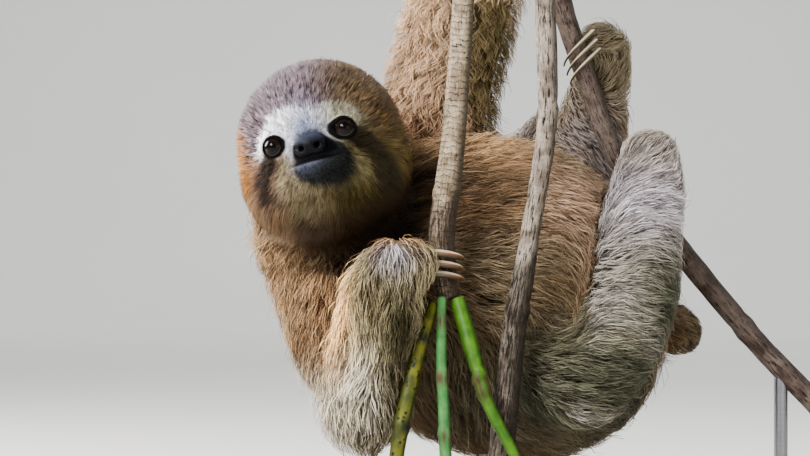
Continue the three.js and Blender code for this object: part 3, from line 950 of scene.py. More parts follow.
def makeEyes():
    material = makeMaterial("eye", makeEyeMaterial)
    rings, sides = 40, 56
    for side, name in ((1, "left"), (-1, "right")):
        centre, gaze, temple, up = eyeFrame(side)
        off = np.linspace(0.02, math.pi - 0.02, rings)
        reach = eyes["radius"] + eyes["cornea"] * np.exp(-((off / 0.55) ** 2))
        points = onCircle(off[:, None], gaze, onCircle(fullTurn(sides), temple, up))
        points = (centre + reach[:, None, None] * points).reshape(-1, 3)
        ends = centre + np.array([gaze * (eyes["radius"] + eyes["cornea"]), -gaze * eyes["radius"]])
        faces = [gridQuads(rings, sides), endFans(rings, sides)]
        if np.dot(np.cross(temple, up), gaze) > 0:
            faces = [f[:, ::-1] for f in faces]
        offs = np.concatenate([np.repeat(off, sides), [0, math.pi]])
        eyeball = makeObject(f"eyeball_{name}", fromHead(np.vstack([points, ends])), faces, {"off": offs})
        finishPiece(eyeball, material, [f"eye_{name}"])


makeEyes()


# The nose pad: a soft pad with two wings, comma-shaped nostrils and a groove down its middle.
nosePad = {
    "balls": [
        (0, -37.1, -3.6, 4.4), (4.6, -36.3, -3.4, 3.5), (-4.6, -36.3, -3.4, 3.5), (3, -36.4, -5.6, 3.3),
        (-3, -36.4, -5.6, 3.3), (2.8, -36.2, -1.4, 3.2), (-2.8, -36.2, -1.4, 3.2),
    ],
    "nostril": [(3.9, -41.6, -5.2, 1.2), (3.7, -38.6, -4.4, 1.2), (3.4, -35.6, -3.2, 0.9)],
    "slit": [(3.9, -41.4, -5.2, 1.1), (5.2, -40.6, -4.5, 0.9), (6.7, -38.6, -3.6, 0.6)],
    "groove": [(0, -41.6, -4.0, 0.3), (0, -41.4, -6.2, 0.45), (0, -39.6, -9.2, 0.5)],
    "centre": (0, -37.5, -3.5),
    "half": 10.5,  # of the grid's width
    "step": 0.4,
    "ballBlend": 2.4,
    "nostrilBlend": 1.3,
    "grooveBlend": 0.6,
}


def noseDistance(where):
    q = toHead(where)
    gap = ballsDistance(q, nosePad["balls"], nosePad["ballBlend"])
    mirror = q * (np.sign(q[:, :1]) * [1, 0, 0] + [0, 1, 1])
    for name in ("nostril", "slit"):
        gap = cutOut(gap, chainDistance(mirror, smoothLine(nosePad[name], 1)), nosePad["nostrilBlend"])
    return cutOut(gap, chainDistance(q, smoothLine(nosePad["groove"], 1)), nosePad["grooveBlend"])


# The nose: black and pebbled, and bluish above, as the high attribute tells; the bluish top is partly
# a painted highlight where the pad faces up.
def makeNoseMaterial(start):
    place = objectPlace(start)
    pebble = place.texture("Voronoi", 1700)
    patch = place.texture("Noise", 260, Detail=2)
    high = attribute(start, "high", 2)
    shade = patch.mixed(colour(2, 2, 3), colour(9, 10, 13))
    shade = (high * (0.55 + 0.7 * patch)).mixed(shade, colour(46, 52, 68))
    rough = 0.32 + 0.2 * patch
    normal = bump(start, pebble, 0.4, 0.0003)
    return {"Base Color": shade, "Roughness": rough, "Specular IOR Level": 0.08, "Normal": normal}


def makeNose():
    centre, half = fromHead(nosePad["centre"]), nosePad["half"]
    field = Field([gridLine((c - half, c + half, nosePad["step"])) for c in centre])
    field.merge(centre - 2 * half, centre + 2 * half, noseDistance, 0.1)
    points, quads = field.surface()
    high = ease(-3.6, 1.6, toHead(points)[:, 2])
    nose = makeObject("nose_pad", points, [quads], {"high": high})
    finishPiece(nose, makeMaterial("nose", makeNoseMaterial), ["nose"])


makeNose()
print("eyes and nose finished")

# What the sloth holds. Nodes are swellings: the height of each, and how far it stands out, as a
# share of the radius. The bark turns dark and torn from the one height down to the other, and the
# painted shade on its flank widens there.
perches = {
    "liana_hand": {
        "line": [
            (28, -56, 430, 5), (20, -59, 408, 5), (9, -58, 372, 5.1), (3, -57, 335, 5.2),
            (-2, -57, 289, 5.3), (-5, -59, 244, 5.5), (-8, -60, 212, 6), (-12, -60, 180, 6.4),
            (-11.5, -60, 163, 5.9), (-9.5, -60, 147, 5.2),
        ],
        "nodes": [(372, 0.08), (300, 0.05), (196, 0.08)], "bark": "barkCream", "crack": 0.035,
        "turnsDark": (204, 172),
    },
    "liana_front": {
        "line": [
            (35.6, -47, 436, 5.2), (35.6, -49, 390, 5.2), (36.5, -51, 340, 5.1), (37.2, -54, 289, 5),
            (38, -59, 232, 4.8), (30, -64, 179, 4.7), (22, -66, 131, 5.8), (16, -65, 72, 6.2),
            (15, -64, 44, 6.6),
        ],
        "nodes": [(360, 0.1), (234, 0.13), (139, 0.14), (70, 0.08)], "bark": "barkGrey", "crack": 0.06,
        "turnsDark": (182, 142),
    },
    "branch_slanting": {
        "line": [
            (39, -37.4, 376, 5.2), (41, -26, 345, 5.2), (45, -4, 312, 5.3), (50, 10, 290, 5.4),
            (57, 18, 270, 5.4), (64, 22, 252, 5.4), (72, 23.5, 228, 5.5), (89, 22, 197, 5.6),
            (115, 20, 162, 5.6), (150, 16, 120, 5.6), (186, 13, 83, 5.8),
        ],
        "nodes": [(330, 0.1), (205, 0.12), (128, 0.1)], "bark": "barkBrown", "crack": 0.05,
    },
}
stems = {
    "stem_yellow": {
        "line": [
            (-16, -62, 144, 2.6), (-22.5, -68, 125, 3.3), (-30.5, -72, 92, 3.8), (-34.5, -73, 68, 3.4),
            (-37, -73, 48, 3.2),
        ],
        "nodes": [(128, 0.1), (86, 0.14), (64, 0.1)], "skin": "stemYellow",
    },
    "stem_green": {
        "line": [(-12.5, -65, 147, 2.2), (-12.8, -68, 118, 2.6), (-11.6, -69, 92, 2.8), (-9.8, -70, 48, 3)],
        "nodes": [(136, 0.06), (109, 0.1), (81, 0.22)], "skin": "stemGreen",
    },
    "stem_leafy": {
        "line": [
            (-5, -64, 146, 3.6), (1, -70, 125, 3.8), (9, -76, 98, 3), (21, -78, 74, 2.6), (24, -78, 66, 2),
        ],
        "nodes": [(108, 0.35), (102, 0.3)], "skin": "stemLeafy",
    },
}


# The looks of the barks and of the green skins.
barks = {
    "barkCream": {
        "pale": (184, 166, 138), "dark": (124, 104, 82), "deep": (42, 31, 23), "flank": (60, 50, 31),
        "ringed": 1, "cracked": 0.5, "shaded": 0.96,
    },
    "barkGrey": {
        "pale": (168, 154, 139), "dark": (92, 78, 66), "deep": (28, 22, 15), "flank": (50, 40, 26),
        "ringed": 0.15, "cracked": 1.5, "shaded": 0.92,
    },
    "barkBrown": {
        "pale": (116, 100, 90), "dark": (70, 55, 48), "deep": (22, 16, 13), "flank": (34, 25, 18),
        "ringed": 0.2, "cracked": 0.9, "shaded": 0.8,
    },
}
greenSkins = {
    "stemYellow": {"fresh": (98, 98, 2), "dull": (46, 54, 4), "scar": (12, 10, 5), "spotted": 1},
    "stemGreen": {"fresh": (78, 138, 70), "dull": (50, 108, 50), "scar": (74, 46, 38), "spotted": 0.35},
    "stemLeafy": {"fresh": (66, 112, 4), "dull": (40, 80, 4), "scar": (56, 42, 18), "spotted": 0.2},
}


# Bark in patches of pale and dark, with deep cracks that run along the stem, scars and steps that
# ring it, and a flank painted darker, as shade away from the light. Each ring's band is also painted
# darker next to its step, as shade. The lay attribute follows the stem, in millimetres, and the rough
# one is 1 where the bark turns dark and torn, which also widens the painted shade on the flank.
def makeBark(start, look):
    pale, dark, deep, flank = (colour(*look[key]) for key in ("pale", "dark", "deep", "flank"))
    lay = attribute(start, "lay")
    rough = attribute(start, "rough", 2)
    grain = lay.stretched((1, 1, 0.14)).texture("Noise", 1.2, Detail=4, Roughness=0.65)
    scars = lay.stretched((0.12, 0.12, 1)).texture("Noise", 0.8, Detail=3, Roughness=0.6)
    patch = lay.texture("Noise", 0.12, Detail=3)
    speck = lay.texture("Voronoi", 1.1)
    partly = lay.texture("Noise", 0.32, Detail=2)
    side = start.node("SeparateXYZ", {}, {0: lay}, output=1)
    bands = {"Vector": lay, "Scale": 0.11, "Distortion": 5, "Detail": 2, "Detail Scale": 2.4}
    wave = start.node("TexWave", {"bands_direction": "Z", "wave_profile": "SAW"}, bands)
    crack = grain.between(0.46, 0.34) * look["cracked"]
    steps = wave.between(0.16, 0.02) * partly.between(0.42, 0.54)
    ring = (scars.between(0.4, 0.33) * 0.4 + steps) * look["ringed"]
    # Painted shade on the flank away from the light, wider where the bark turns dark.
    shadedFlank = (side * 0.16 + rough * 0.3).between(0.0, 0.9)
    torn = (rough + patch * 0.8).between(0.54, 0.84) * (0.58 + grain.between(0.6, 0.4) * 0.42)
    shade = patch.between(0.35, 0.7).mixed(pale, dark)
    shade = (speck.between(0.36, 0.12) * (0.5 + rough)).mixed(shade, dark * 0.7)
    shade = (grain.between(0.5, 0.72) * 0.5).mixed(shade, pale)
    # Each ring's band is darker next to its step: painted shade.
    shade = (wave.between(0.7, 0.0) * 0.45 * look["ringed"]).mixed(shade, dark * 0.7)
    shade = (crack + ring).between(0.15, 0.9).mixed(shade, deep)
    shade = (shadedFlank * look["shaded"]).mixed(shade, flank)
    shade = torn.mixed(shade, deep * 1.5)
    height = grain + scars * 0.5 - crack - ring + wave * look["ringed"] * 1.4
    normal = bump(start, height, 0.9, 0.001)
    rough = 0.62 + 0.2 * grain
    return {"Base Color": shade, "Roughness": rough, "Specular IOR Level": 0.2, "Normal": normal}


# Green skin: a smooth stem, brighter and yellower in patches, with brown scars at its nodes, dark
# spots, and edges painted darker, partly as shade where the stem turns away. Here the rough
# attribute is 1 at the nodes.
def makeGreenSkin(start, look):
    fresh, dull, scar = (colour(*look[key]) for key in ("fresh", "dull", "scar"))
    lay = attribute(start, "lay")
    knot = attribute(start, "rough", 2)
    streak = lay.stretched((1, 1, 0.1)).texture("Noise", 0.7, Detail=3)
    patch = lay.texture("Noise", 0.12, Detail=3)
    spots = lay.texture("Voronoi", 0.34)
    away = start.node("SeparateXYZ", {}, {0: lay}, output=1)
    # Both edges across the stem are darker, partly painted shade.
    edge = (away * away * 0.1).between(0.15, 0.95)
    shade = patch.between(0.35, 0.65).mixed(fresh, dull)
    shade = (streak.between(0.5, 0.7) * 0.3).mixed(shade, fresh * 1.3)
    shade = (edge * 0.6).mixed(shade, dull * 0.3)
    shade = ((spots + 0.5 * patch).between(0.54, 0.46) * look["spotted"]).mixed(shade, scar)
    shade = (knot * streak.between(0.3, 0.6)).mixed(shade, scar)
    normal = bump(start, streak + spots * 0.4, 0.35, 0.0003)
    rough = 0.5 + 0.2 * knot
    return {"Base Color": shade, "Roughness": rough, "Specular IOR Level": 0.25, "Normal": normal}


# A stem's swelling: rings that stand out at its nodes, ridges and cracks along it, and slow
# unevenness. Heights are the distances along the stem and the height at each.
def woodSwell(heights, nodes, ridge, crack, seed):
    def swell(angle, distance):
        def uneven(wide, along, dice):
            where = np.stack([np.cos(angle) * wide, np.sin(angle) * wide, distance * along], -1)
            return noise(where.reshape(-1, 3), dice).reshape(angle.shape)

        height = np.interp(distance[:, :1], *heights)
        shape = 1 + ridge * uneven(1.6, 0.06, seed)
        shape -= crack * ease(0.05, 0.6, uneven(5, 0.16, seed + 1))
        for place, size in nodes:
            lean = 1.2 * np.cos(angle + place)
            shape += size * np.exp(-(((height - place + lean) / 2.6) ** 2))
            shape -= 0.4 * size * np.exp(-(((height - place + lean - 4.4) / 1.4) ** 2))
        return shape

    return swell


def makePlants():
    looks = {name: makeMaterial(name, makeBark, look) for name, look in barks.items()}
    looks |= {name: makeMaterial(name, makeGreenSkin, look) for name, look in greenSkins.items()}
    for number, (name, plant) in enumerate([*perches.items(), *stems.items()]):
        woody = name in perches
        line = smoothLine(plant["line"], 0.9)
        ridge, crack = (0.07, plant["crack"]) if woody else (0.04, 0)
        heights = (distanceAlong(line[:, :3]), line[:, 2])
        swell = woodSwell(heights, plant["nodes"], ridge, crack, 20 + number * 3)
        points, faces, lay = makeTube(line, (0, 1, 0), 34 if woody else 24, swell, 3, 0.22)
        high = points[:, 2]
        knots = sum(np.exp(-(((high - place) / 3.5) ** 2)) for place, _ in plant["nodes"])
        rough = ease(*plant.get("turnsDark", (1, 0)), high) if woody else np.minimum(knots, 1)
        piece = makeObject(f"plant_{name}", points, faces, {"lay": lay, "rough": rough})
        material = looks[plant["bark" if woody else "skin"]]
        finishPiece(piece, material, [name])


makePlants()
print("lianas and stems finished")

# One claw, in mm and degrees round the branch: it hooks from the paw over to the branch's far side.
# Its droop is how far the tip leans along the branch.
claw = {
    "count": 3, "rootRadius": 2.0, "tipRadius": 0.8, "start": 12, "end": 205, "spacing": 5, "slack": 0.7,
    "droop": 1.6, "size": 1, "steps": 34, "sides": 18, "flat": 0.14,
}
# What each paw holds, and where. A paw's own values take the place of the claw's.
grips = {
    "hand_right": {
        "on": "liana_hand", "at": (-11.5, -60, 163.4), "along": (0, 0, -1), "paw": (-1, -0.3, 0),
        "over": -1, "reach": 18, "slide": 0, "end": 150, "droop": 3, "size": 1.12,
    },
    "hand_left": {
        "on": "liana_front", "at": (35.6, -48.6, 399), "along": (0, 0, 1), "paw": (-0.35, 1, 0), "over": -1,
        "reach": 18, "slide": 0,
    },
    "foot_right": {
        "on": "branch_slanting", "at": (84, 22.6, 206.4), "along": (0.49, -0.05, -0.87),
        "paw": (0.27, -0.95, 0.25), "over": -1, "reach": 19, "slide": 3,
    },
    "foot_left": {
        "on": "branch_slanting", "at": (55.8, 16.8, 271), "along": (0.34, 0.24, -0.91),
        "paw": (0.75, 0.8, 0.5), "over": 1, "reach": 12, "slide": 0, "start": 42, "droop": 11, "size": 0.6,
    },
}


# Horn: pale along its back, partly a painted highlight, olive at its flanks with a rusty stretch
# before the tip, and dark beneath, partly painted shade. It is a little duller at the root, and fine
# lines run along it.
def makeHornMaterial(start):
    lay = attribute(start, "lay")
    share = attribute(start, "share", 2)
    under = attribute(start, "under", 2)
    line = lay.stretched((1, 1, 0.05)).texture("Noise", 2.2, Detail=3)
    patch = objectPlace(start).texture("Noise", 70, Detail=2)
    rusty = share.between(0.45, 0.6) * patch.between(0.42, 0.56)
    flank = rusty.mixed(colour(80, 72, 38), colour(104, 48, 20))
    # Pale on the back, partly a painted highlight, and dark beneath, partly painted shade.
    shade = under.between(0.1, 0.4).mixed(colour(204, 190, 160), flank)
    shade = under.between(0.55, 0.8).mixed(shade, colour(38, 25, 13))
    shade = (share.between(0.3, 0.0) * 0.4).mixed(shade, colour(104, 82, 54))
    shade = (patch.between(0.45, 0.7) * 0.25).mixed(shade, colour(132, 104, 64))
    shade = (line.between(0.5, 0.66) * 0.35).mixed(shade, colour(120, 98, 66))
    normal = bump(start, line, 0.25, 0.0002)
    return {"Base Color": shade, "Roughness": 0.32 + 0.2 * line, "Normal": normal}


# The line of one claw: an arc round the branch that starts further out, in the paw.
def clawLine(grip, number):
    shape = claw | grip
    along = unit(np.array(grip["along"], float))
    paw = np.array(grip["paw"], float)
    paw = unit(paw - paw @ along * along)
    over = np.cross(along, paw) * grip["over"]
    stations = np.array(perches[grip["on"]]["line"])
    branch = stations[np.argmin(np.abs(stations[:, 2] - grip["at"][2])), 3]
    bend = branch + shape["rootRadius"] + shape["slack"]
    share = np.linspace(0, 1, shape["steps"])[:, None]
    angle = np.radians(shape["start"] + (shape["end"] - shape["start"]) * share)
    away = bend + (grip["reach"] - bend) * (1 - share) ** 4
    place = (number - (shape["count"] - 1) / 2) * shape["spacing"] + grip["slide"] * (share - 0.5)
    place = place + shape["droop"] * share**2
    line = np.array(grip["at"]) + along * place
    line = line + paw * (np.cos(angle) * away - shape["slack"]) + over * np.sin(angle) * away
    radius = shape["rootRadius"] + (shape["tipRadius"] - shape["rootRadius"]) * share**1.7
    return np.hstack([line, radius * shape["size"]]), along


def clawLines():
    for paw, grip in grips.items():
        for number in range(claw["count"]):
            yield f"{paw}_{number + 1}", *clawLine(grip, number)


def makeClaws():
    material = makeMaterial("horn", makeHornMaterial)
    sides = claw["sides"]
    flatter = lambda angle, distance: 1 - claw["flat"] * np.cos(angle) ** 2
    for name, line, along in clawLines():
        points, faces, lay = makeTube(line, along, sides, flatter, 4)
        rings = points[:-2].reshape(-1, sides, 3)
        outward = (rings - rings.mean(1, keepdims=True)).reshape(-1, 3)
        # Under is 1 on the claw's underside, which the horn paints dark, partly as shade.
        under = ease(-0.95, 0.95, unit(np.vstack([outward, along, along])) @ along)
        attributes = {"lay": lay, "share": lay[:, 2] / lay[:, 2].max(), "under": under}
        piece = makeObject(f"horn_{name}", points, faces, attributes)
        finishPiece(piece, material, [f"claw_{name}"])


makeClaws()


# The stand keeps its CAD nodes, and takes a dark wood and a brushed steel.
def makeStandWood(start):
    long = start.node("Mapping", {}, {"Vector": objectPlace(start), "Scale": (6, 60, 60)})
    grain = long.texture("Noise", 2.2, Detail=5, Distortion=0.6)
    pore = long.texture("Noise", 14, Detail=3)
    shade = grain.between(0.35, 0.7).mixed(colour(52, 34, 24), colour(84, 56, 38))
    shade = (pore.between(0.56, 0.7) * 0.6).mixed(shade, colour(28, 18, 14))
    normal = bump(start, pore + grain, 0.2, 0.0003)
    return {"Base Color": shade, "Roughness": 0.3 + 0.2 * grain, "Normal": normal, "Coat Weight": 0.2}


def makeSteel(start):
    brushed = start.node("Mapping", {}, {"Vector": objectPlace(start), "Scale": (20, 20, 900)})
    line = brushed.texture("Noise", 3, Detail=3)
    shade = line.mixed(colour(116, 116, 120), colour(150, 150, 154))
    normal = bump(start, line, 0.15, 0.0002)
    return {"Base Color": shade, "Metallic": 1.0, "Roughness": 0.28 + 0.2 * line, "Normal": normal}


def finishStand():
    finishes = {"stand_base": makeMaterial("standWood", makeStandWood)}
    steel = makeMaterial("standSteel", makeSteel)
    for name in ("stand_base", "stand_rod_front", "stand_rod_back"):
        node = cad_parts[name]
        node.data.materials.clear()
        node.data.materials.append(finishes.get(name, steel))


finishStand()
print("claws and stand finished")

# Each piece of coat covers some parts, or what is above or below a height (mm). A lock
# is a spike of some rings with its length and width (mm), its thickness as a share of the width and
# how far its root is sunk (mm). It curls by itself and swirls with its neighbours. Clump is the
# number of locks in a clump, and pull is how far they draw together. Contrast is how much the clumps
# differ in shade, and strand how far a lock goes its own way in that. Patch is a lock's side on the map.
lockShape = {
    "rings": 3, "clump": 11, "pull": 0.55, "curl": 0.14, "thick": 0.4, "sunk": 0.6, "patch": 0.003,
    "contrast": 1.2, "swirl": 0.3, "strand": 0.4,
}
coat = {
    "coat_crown": {
        "parts": ["head"], "rings": 2, "locks": 19600, "clump": 6, "pull": 0.4, "curl": 0.07,
        "contrast": 1.8, "strand": 0.5,
    },
    "coat_face": {
        "parts": ["head"], "rings": 2, "locks": 19600, "clump": 7, "pull": 0.4, "curl": 0.06,
        "contrast": 1.1,
    },
    "coat_neck": {
        "parts": ["neck"], "locks": 6500, "length": 15, "width": 0.55, "curl": 0.5, "swirl": 1.1,
        "contrast": 1.5,
    },
    "coat_trunk_upper": {
        "parts": ["trunk"], "above": 158, "locks": 11900, "length": 21, "width": 0.52, "clump": 7,
        "pull": 0.42, "strand": 0.55,
    },
    "coat_trunk_lower": {
        "parts": ["trunk"], "below": 158, "locks": 10500, "length": 24, "width": 0.52, "curl": 0.2,
        "clump": 7, "pull": 0.42, "strand": 0.55,
    },
    "coat_arm_right": {
        "parts": ["upperArmRight", "forearmRight"], "locks": 12000, "length": 17, "width": 0.4,
        "contrast": 2.4, "clump": 6, "pull": 0.33, "strand": 0.75, "swirl": 0.5,
    },
    "coat_arm_left": {
        "parts": ["upperArmLeft", "forearmLeft"], "locks": 9800, "length": 13.5, "width": 0.43,
        "curl": 0.55, "pull": 0.35, "swirl": 0.8, "strand": 0.6, "clump": 7, "contrast": 0.7,
    },
    "coat_leg_right": {
        "parts": ["thighRight", "shinRight"], "locks": 12000, "length": 20, "width": 0.5, "swirl": 0.5,
        "contrast": 1.5, "clump": 7, "pull": 0.42, "strand": 0.55,
    },
    "coat_leg_left": {
        "parts": ["thighLeft", "shinLeft"], "locks": 6400, "length": 17, "width": 0.56, "contrast": 0.7,
        "clump": 7, "pull": 0.38, "strand": 0.6,
    },
    "coat_tail": {"parts": ["tail"], "locks": 1200, "length": 12, "width": 0.6},
}
# Where the coat stands out further: a soft spot and how much further, as a share.
shaggy = [
    ((-62, -45, 92), (15, 30, 14), 0.9), ((-86, -15, 118), (8, 30, 12), 0.9),
    ((-50, -45, 76), (14, 30, 8), 0.8), ((-34, -74, 169), (16, 22, 9), 0.15),
    ((-103, -30, 181), (16, 40, 16), 0.8), ((74, 44, 214), (12, 20, 12), 0.5),
    ((67, 25, 276), (5, 8, 8), 1.0), ((64, 32, 282), (8, 12, 6), 0.5),
]

# Which way the hair lies: places on the body (mm), and the way there from root to tip.
combing = {
    "coat_neck": [
        (-75, -50, 178, -0.5, -0.1, -0.7), (-50, -50, 185, 0.9, 0, -0.5), (-100, -20, 190, -0.35, 0, -0.9),
        (-60, 20, 185, 0.3, 0.2, -0.9), (-98, -20, 160, -0.2, 0, -1),
    ],
    "coat_trunk": [
        (1, -45, 218, 0.9, 0, 0.45), (35, -45, 218, 0.95, 0, 0.3), (-8, -48, 193, 0.97, 0, 0.15),
        (30, -50, 193, 1, 0, 0), (57, -40, 193, 0.5, 0, -0.7), (60, -30, 208, 0.9, 0, -0.3),
        (60, -40, 179, 0.7, 0, -0.7), (16, -50, 174, 1, 0, 0), (6, -50, 150, 1, 0, -0.15),
        (42, -50, 152, 1, 0, -0.3), (59, -35, 145, 0.1, 0, -1), (54, -40, 131, -0.5, 0, -0.85),
        (30, -45, 123, 0.3, 0, -0.95), (50, -40, 106, 1, 0, -0.15), (26, -45, 101, 0.8, 0, -0.6),
        (1, -45, 106, 0.1, 0, -1), (1, -30, 77, 0.2, 0, -1), (45, -30, 77, 0.7, 0, -0.75),
        (-30, -30, 130, 0.2, 0, -1), (0, 75, 200, 0.8, 0, -0.4), (40, 75, 130, 0.7, 0, -0.75),
        (-20, 75, 150, 0.5, 0, -0.85), (85, 10, 140, 0.6, 0, -0.8),
    ],
    "coat_arm_right": [
        (-67, -40, 161, -0.2, 0, -1), (-95, -14, 150, -0.45, 0, -0.9), (-60, -50, 120, -0.15, -0.1, -1),
        (-48, -60, 92, 0.1, 0, -1), (-44, -88, 168, -0.4, -0.2, -0.85), (-26, -84, 166, 0.2, -0.1, -1),
        (-48, -90, 150, -0.2, 0, -1), (-35, -90, 130, 0.1, 0, -1), (-55, -75, 120, -0.2, 0, -1),
    ],
    "coat_arm_left": [
        (0, 10, 330, -0.1, -0.2, -1), (-10, 10, 260, -0.15, -0.1, -1), (-20, 0, 215, 0.2, -0.1, -1),
    ],
    "coat_leg_right": [
        (40, -45, 124, 1, 0, -0.1), (50, -60, 100, 0.95, 0, -0.3), (58, -65, 90, 0.95, 0, -0.4),
        (72, -60, 121, 1, 0, -0.15), (80, -55, 145, 1, 0, -0.12), (80, -45, 168, 1, 0, 0),
        (88, -30, 200, 0.95, 0, 0.2), (92, -15, 218, 0.8, 0, 0.6), (104, -30, 150, 0.45, 0.1, -0.9),
        (100, -35, 125, 0.5, 0, -0.85), (86, 0, 150, 0.3, 0.3, -0.9),
    ],
    "coat_leg_left": [
        (50, 50, 215, 1, 0, 0), (35, 70, 220, 0.8, 0, -0.2), (50, 60, 180, 0.7, 0, -0.7),
        (64, 30, 235, 0.7, 0, -0.6), (62, 45, 210, 0.5, 0, -0.9), (78, 20, 255, 0.5, 0, 0.85),
        (70, 8, 278, -0.85, -0.2, -0.35), (76, 8, 267, -0.8, -0.2, -0.3), (45, 105, 215, 0.2, 0.3, -0.9),
    ],
    "coat_tail": [(80, 30, 137, 0.8, 0.2, -0.5), (112, 47, 126, 0.8, 0.3, -0.6)],
}


# The way of the hair on the body: a mean of the combing, the near places counting most.
def bodyLie(where, key):
    guides = np.array(combing[key], float)
    gaps = ((where[:, None] - guides[None, :, :3]) ** 2).sum(-1)
    weight = 1 / (gaps + 120) ** 2
    return unit(weight @ unit(guides[:, 3:]))


# Places in the head's frame: where the face's hair starts from, and the nose.
partingPlace = np.array([0, -38, -5.5])
nosePlace = np.array([0, -38, -4])


# On the head it spreads from the parting, and round each eye from the eye. Low down it hangs.
def headLie(where):
    q = toHead(where)
    way = unit(q - partingPlace)
    for side in (1, -1):
        centre, gaze, _, _ = eyeFrame(side)
        away = q - centre
        away = away - (away @ gaze)[:, None] * gaze
        near = np.exp(-(((length(away) - 4) / 4.5) ** 2)) * (length(q - centre) < 15)
        way = way + 2.4 * near[:, None] * unit(away)
    low = ease(-6, -26, q[:, 2]) * ease(14, 30, length(q - partingPlace))
    way = unit(way) @ axesOfHead
    return unit(way + low[:, None] * np.array([-0.1, 0.25, -1.3]))


# Length, width and the height that the hair's tips reach, at roots on the head.
def headHair(q):
    reach = length(q - nosePlace)
    long = 1.3 + 7.2 * ease(6, 38, reach) + 7 * ease(-16, -31, q[:, 2]) * ease(16, 28, reach)
    for side in (1, -1):
        gap = length(q - eyeFrame(side)[0])
        long = np.minimum(long, 1.7 + 0.5 * np.maximum(gap - 6.5, 0))
    wide = 0.24 + 0.14 * ease(8, 36, reach)
    return long, wide, long * (0.36 + 0.24 * ease(14, 34, reach))


# Length, width and height at roots on the body, where the share along the parts tells the depth.
def bodyHair(roots, normals, settings, rng):
    named = [body[p] for p in settings["parts"]]
    flat = unwrap(roots, settings["parts"])[:, 1]
    depth = np.interp(flat, np.linspace(0, 1, 2 * len(named)), [c for p in named for c in p["coat"]])
    long = settings["length"] * (0.45 + 0.55 * depth / max(p["coat"][0] for p in named))
    wide = settings["width"] * (1 + 0.7 * ease(-0.3, 0.6, normals[:, 1]))
    high = depth * (0.25 + 0.7 * rng.random(len(roots)) ** 0.7)
    return long, wide, high * (1 + sum(extra * spot(roots, centre, size) for centre, size, extra in shaggy))


# Where each point is on an unwrap of its own part: round the part's line and along it, or, on the
# head, round and up its ball.
def unwrap(where, parts):
    if parts == ["head"]:
        q = unit(toHead(where) - np.array([0, -4, 0]))
        around = np.arctan2(q[:, 0], -q[:, 1]) / (2 * math.pi)
        return np.stack([around + 0.5, np.arcsin(q[:, 2]) / math.pi + 0.5], 1)
    best = np.full(len(where), 1e9)
    flat = np.zeros((len(where), 2))
    lines = [skinLine(body[name], 8)[:, :3] for name in parts]
    legs = [leg for line in lines for leg in zip(line[:-1], line[1:])]
    for number, (a, b) in enumerate(legs):
        along = b - a
        t = np.clip((where - a) @ along / (along @ along), 0, 1)
        away = where - a - t[:, None] * along
        gap = length(away)
        side = unit(np.cross(along, (0, 1, 0.02)))
        other = unit(np.cross(along, side))
        angle = np.arctan2(away @ other, away @ side) / (2 * math.pi) + 0.5
        nearer = gap < best
        best = np.where(nearer, gap, best)
        flat[nearer] = np.stack([angle, (number + t) / len(legs)], 1)[nearer]
    return flat


# True where a hair would run through a plant, a claw or an eye's opening.
def blocked(spines):
    where = spines.reshape(-1, 3)
    hit = np.zeros(len(where), bool)
    for plant in [*perches.values(), *stems.values()]:
        hit |= chainDistance(where, smoothLine(plant["line"], 12)) < 0.2
    for _, line, _ in clawLines():
        hit |= chainDistance(where, line[8::3]) < 0.1
    q = toHead(where)
    for side in (1, -1):
        away, _, _, around = fromEye(q, side)
        gaze = eyeFrame(side)[1]
        depth = away @ gaze
        wide = length(away - depth[:, None] * gaze)
        opening = eyes["radius"] * np.sin(lidAngle(around, side)) + eyes["slack"]
        hit |= (depth > 0) & (depth < eyes["ahead"]) & (wide < opening)
    return hit.reshape(spines.shape[:2]).any(1)


# The skin's faces, as the coat needs them: corners, middles, directions, areas and parts, and which
# of them lie within the face's outline.
def skinFaces():
    corners = skinPoints[skinQuads]
    normal = np.cross(corners[:, 2] - corners[:, 0], corners[:, 3] - corners[:, 1])
    middle = corners.mean(1)
    q = toHead(middle)
    return {
        "corners": corners,
        "middle": middle,
        "normals": unit(normal),
        "area": length(normal) / 2,
        "part": skinPart[skinQuads[:, 0]],
        "inFace": (q[:, 1] < -10) & (insideOutline(q[:, [0, 2]], faceMarks["pale"]) > 0),
    }


# Roots spread over a piece's faces, more of them where the skin faces the camera, and the face of
# the skin that each is on.
def coatRoots(name, settings, faces, rng):
    mine = np.isin(faces["part"], [partNames.index(p) for p in settings["parts"]])
    if settings["parts"] == ["head"]:
        mine &= faces["inFace"] == (name == "coat_face")
    height = faces["middle"][:, 2]
    mine &= (height > settings.get("above", 0)) & (height <= settings.get("below", 1000))
    count = settings["locks"]
    weight = faces["area"] * mine * (0.5 + 0.9 * np.clip(0.35 - faces["normals"][:, 1], 0, 1))
    face = rng.choice(len(weight), count, p=weight / weight.sum())
    u, v = rng.random((2, count, 1))
    a, b, c, d = np.moveaxis(faces["corners"][face], 1, 0)
    return (a * (1 - u) + b * u) * (1 - v) + (d * (1 - u) + c * u) * v, face


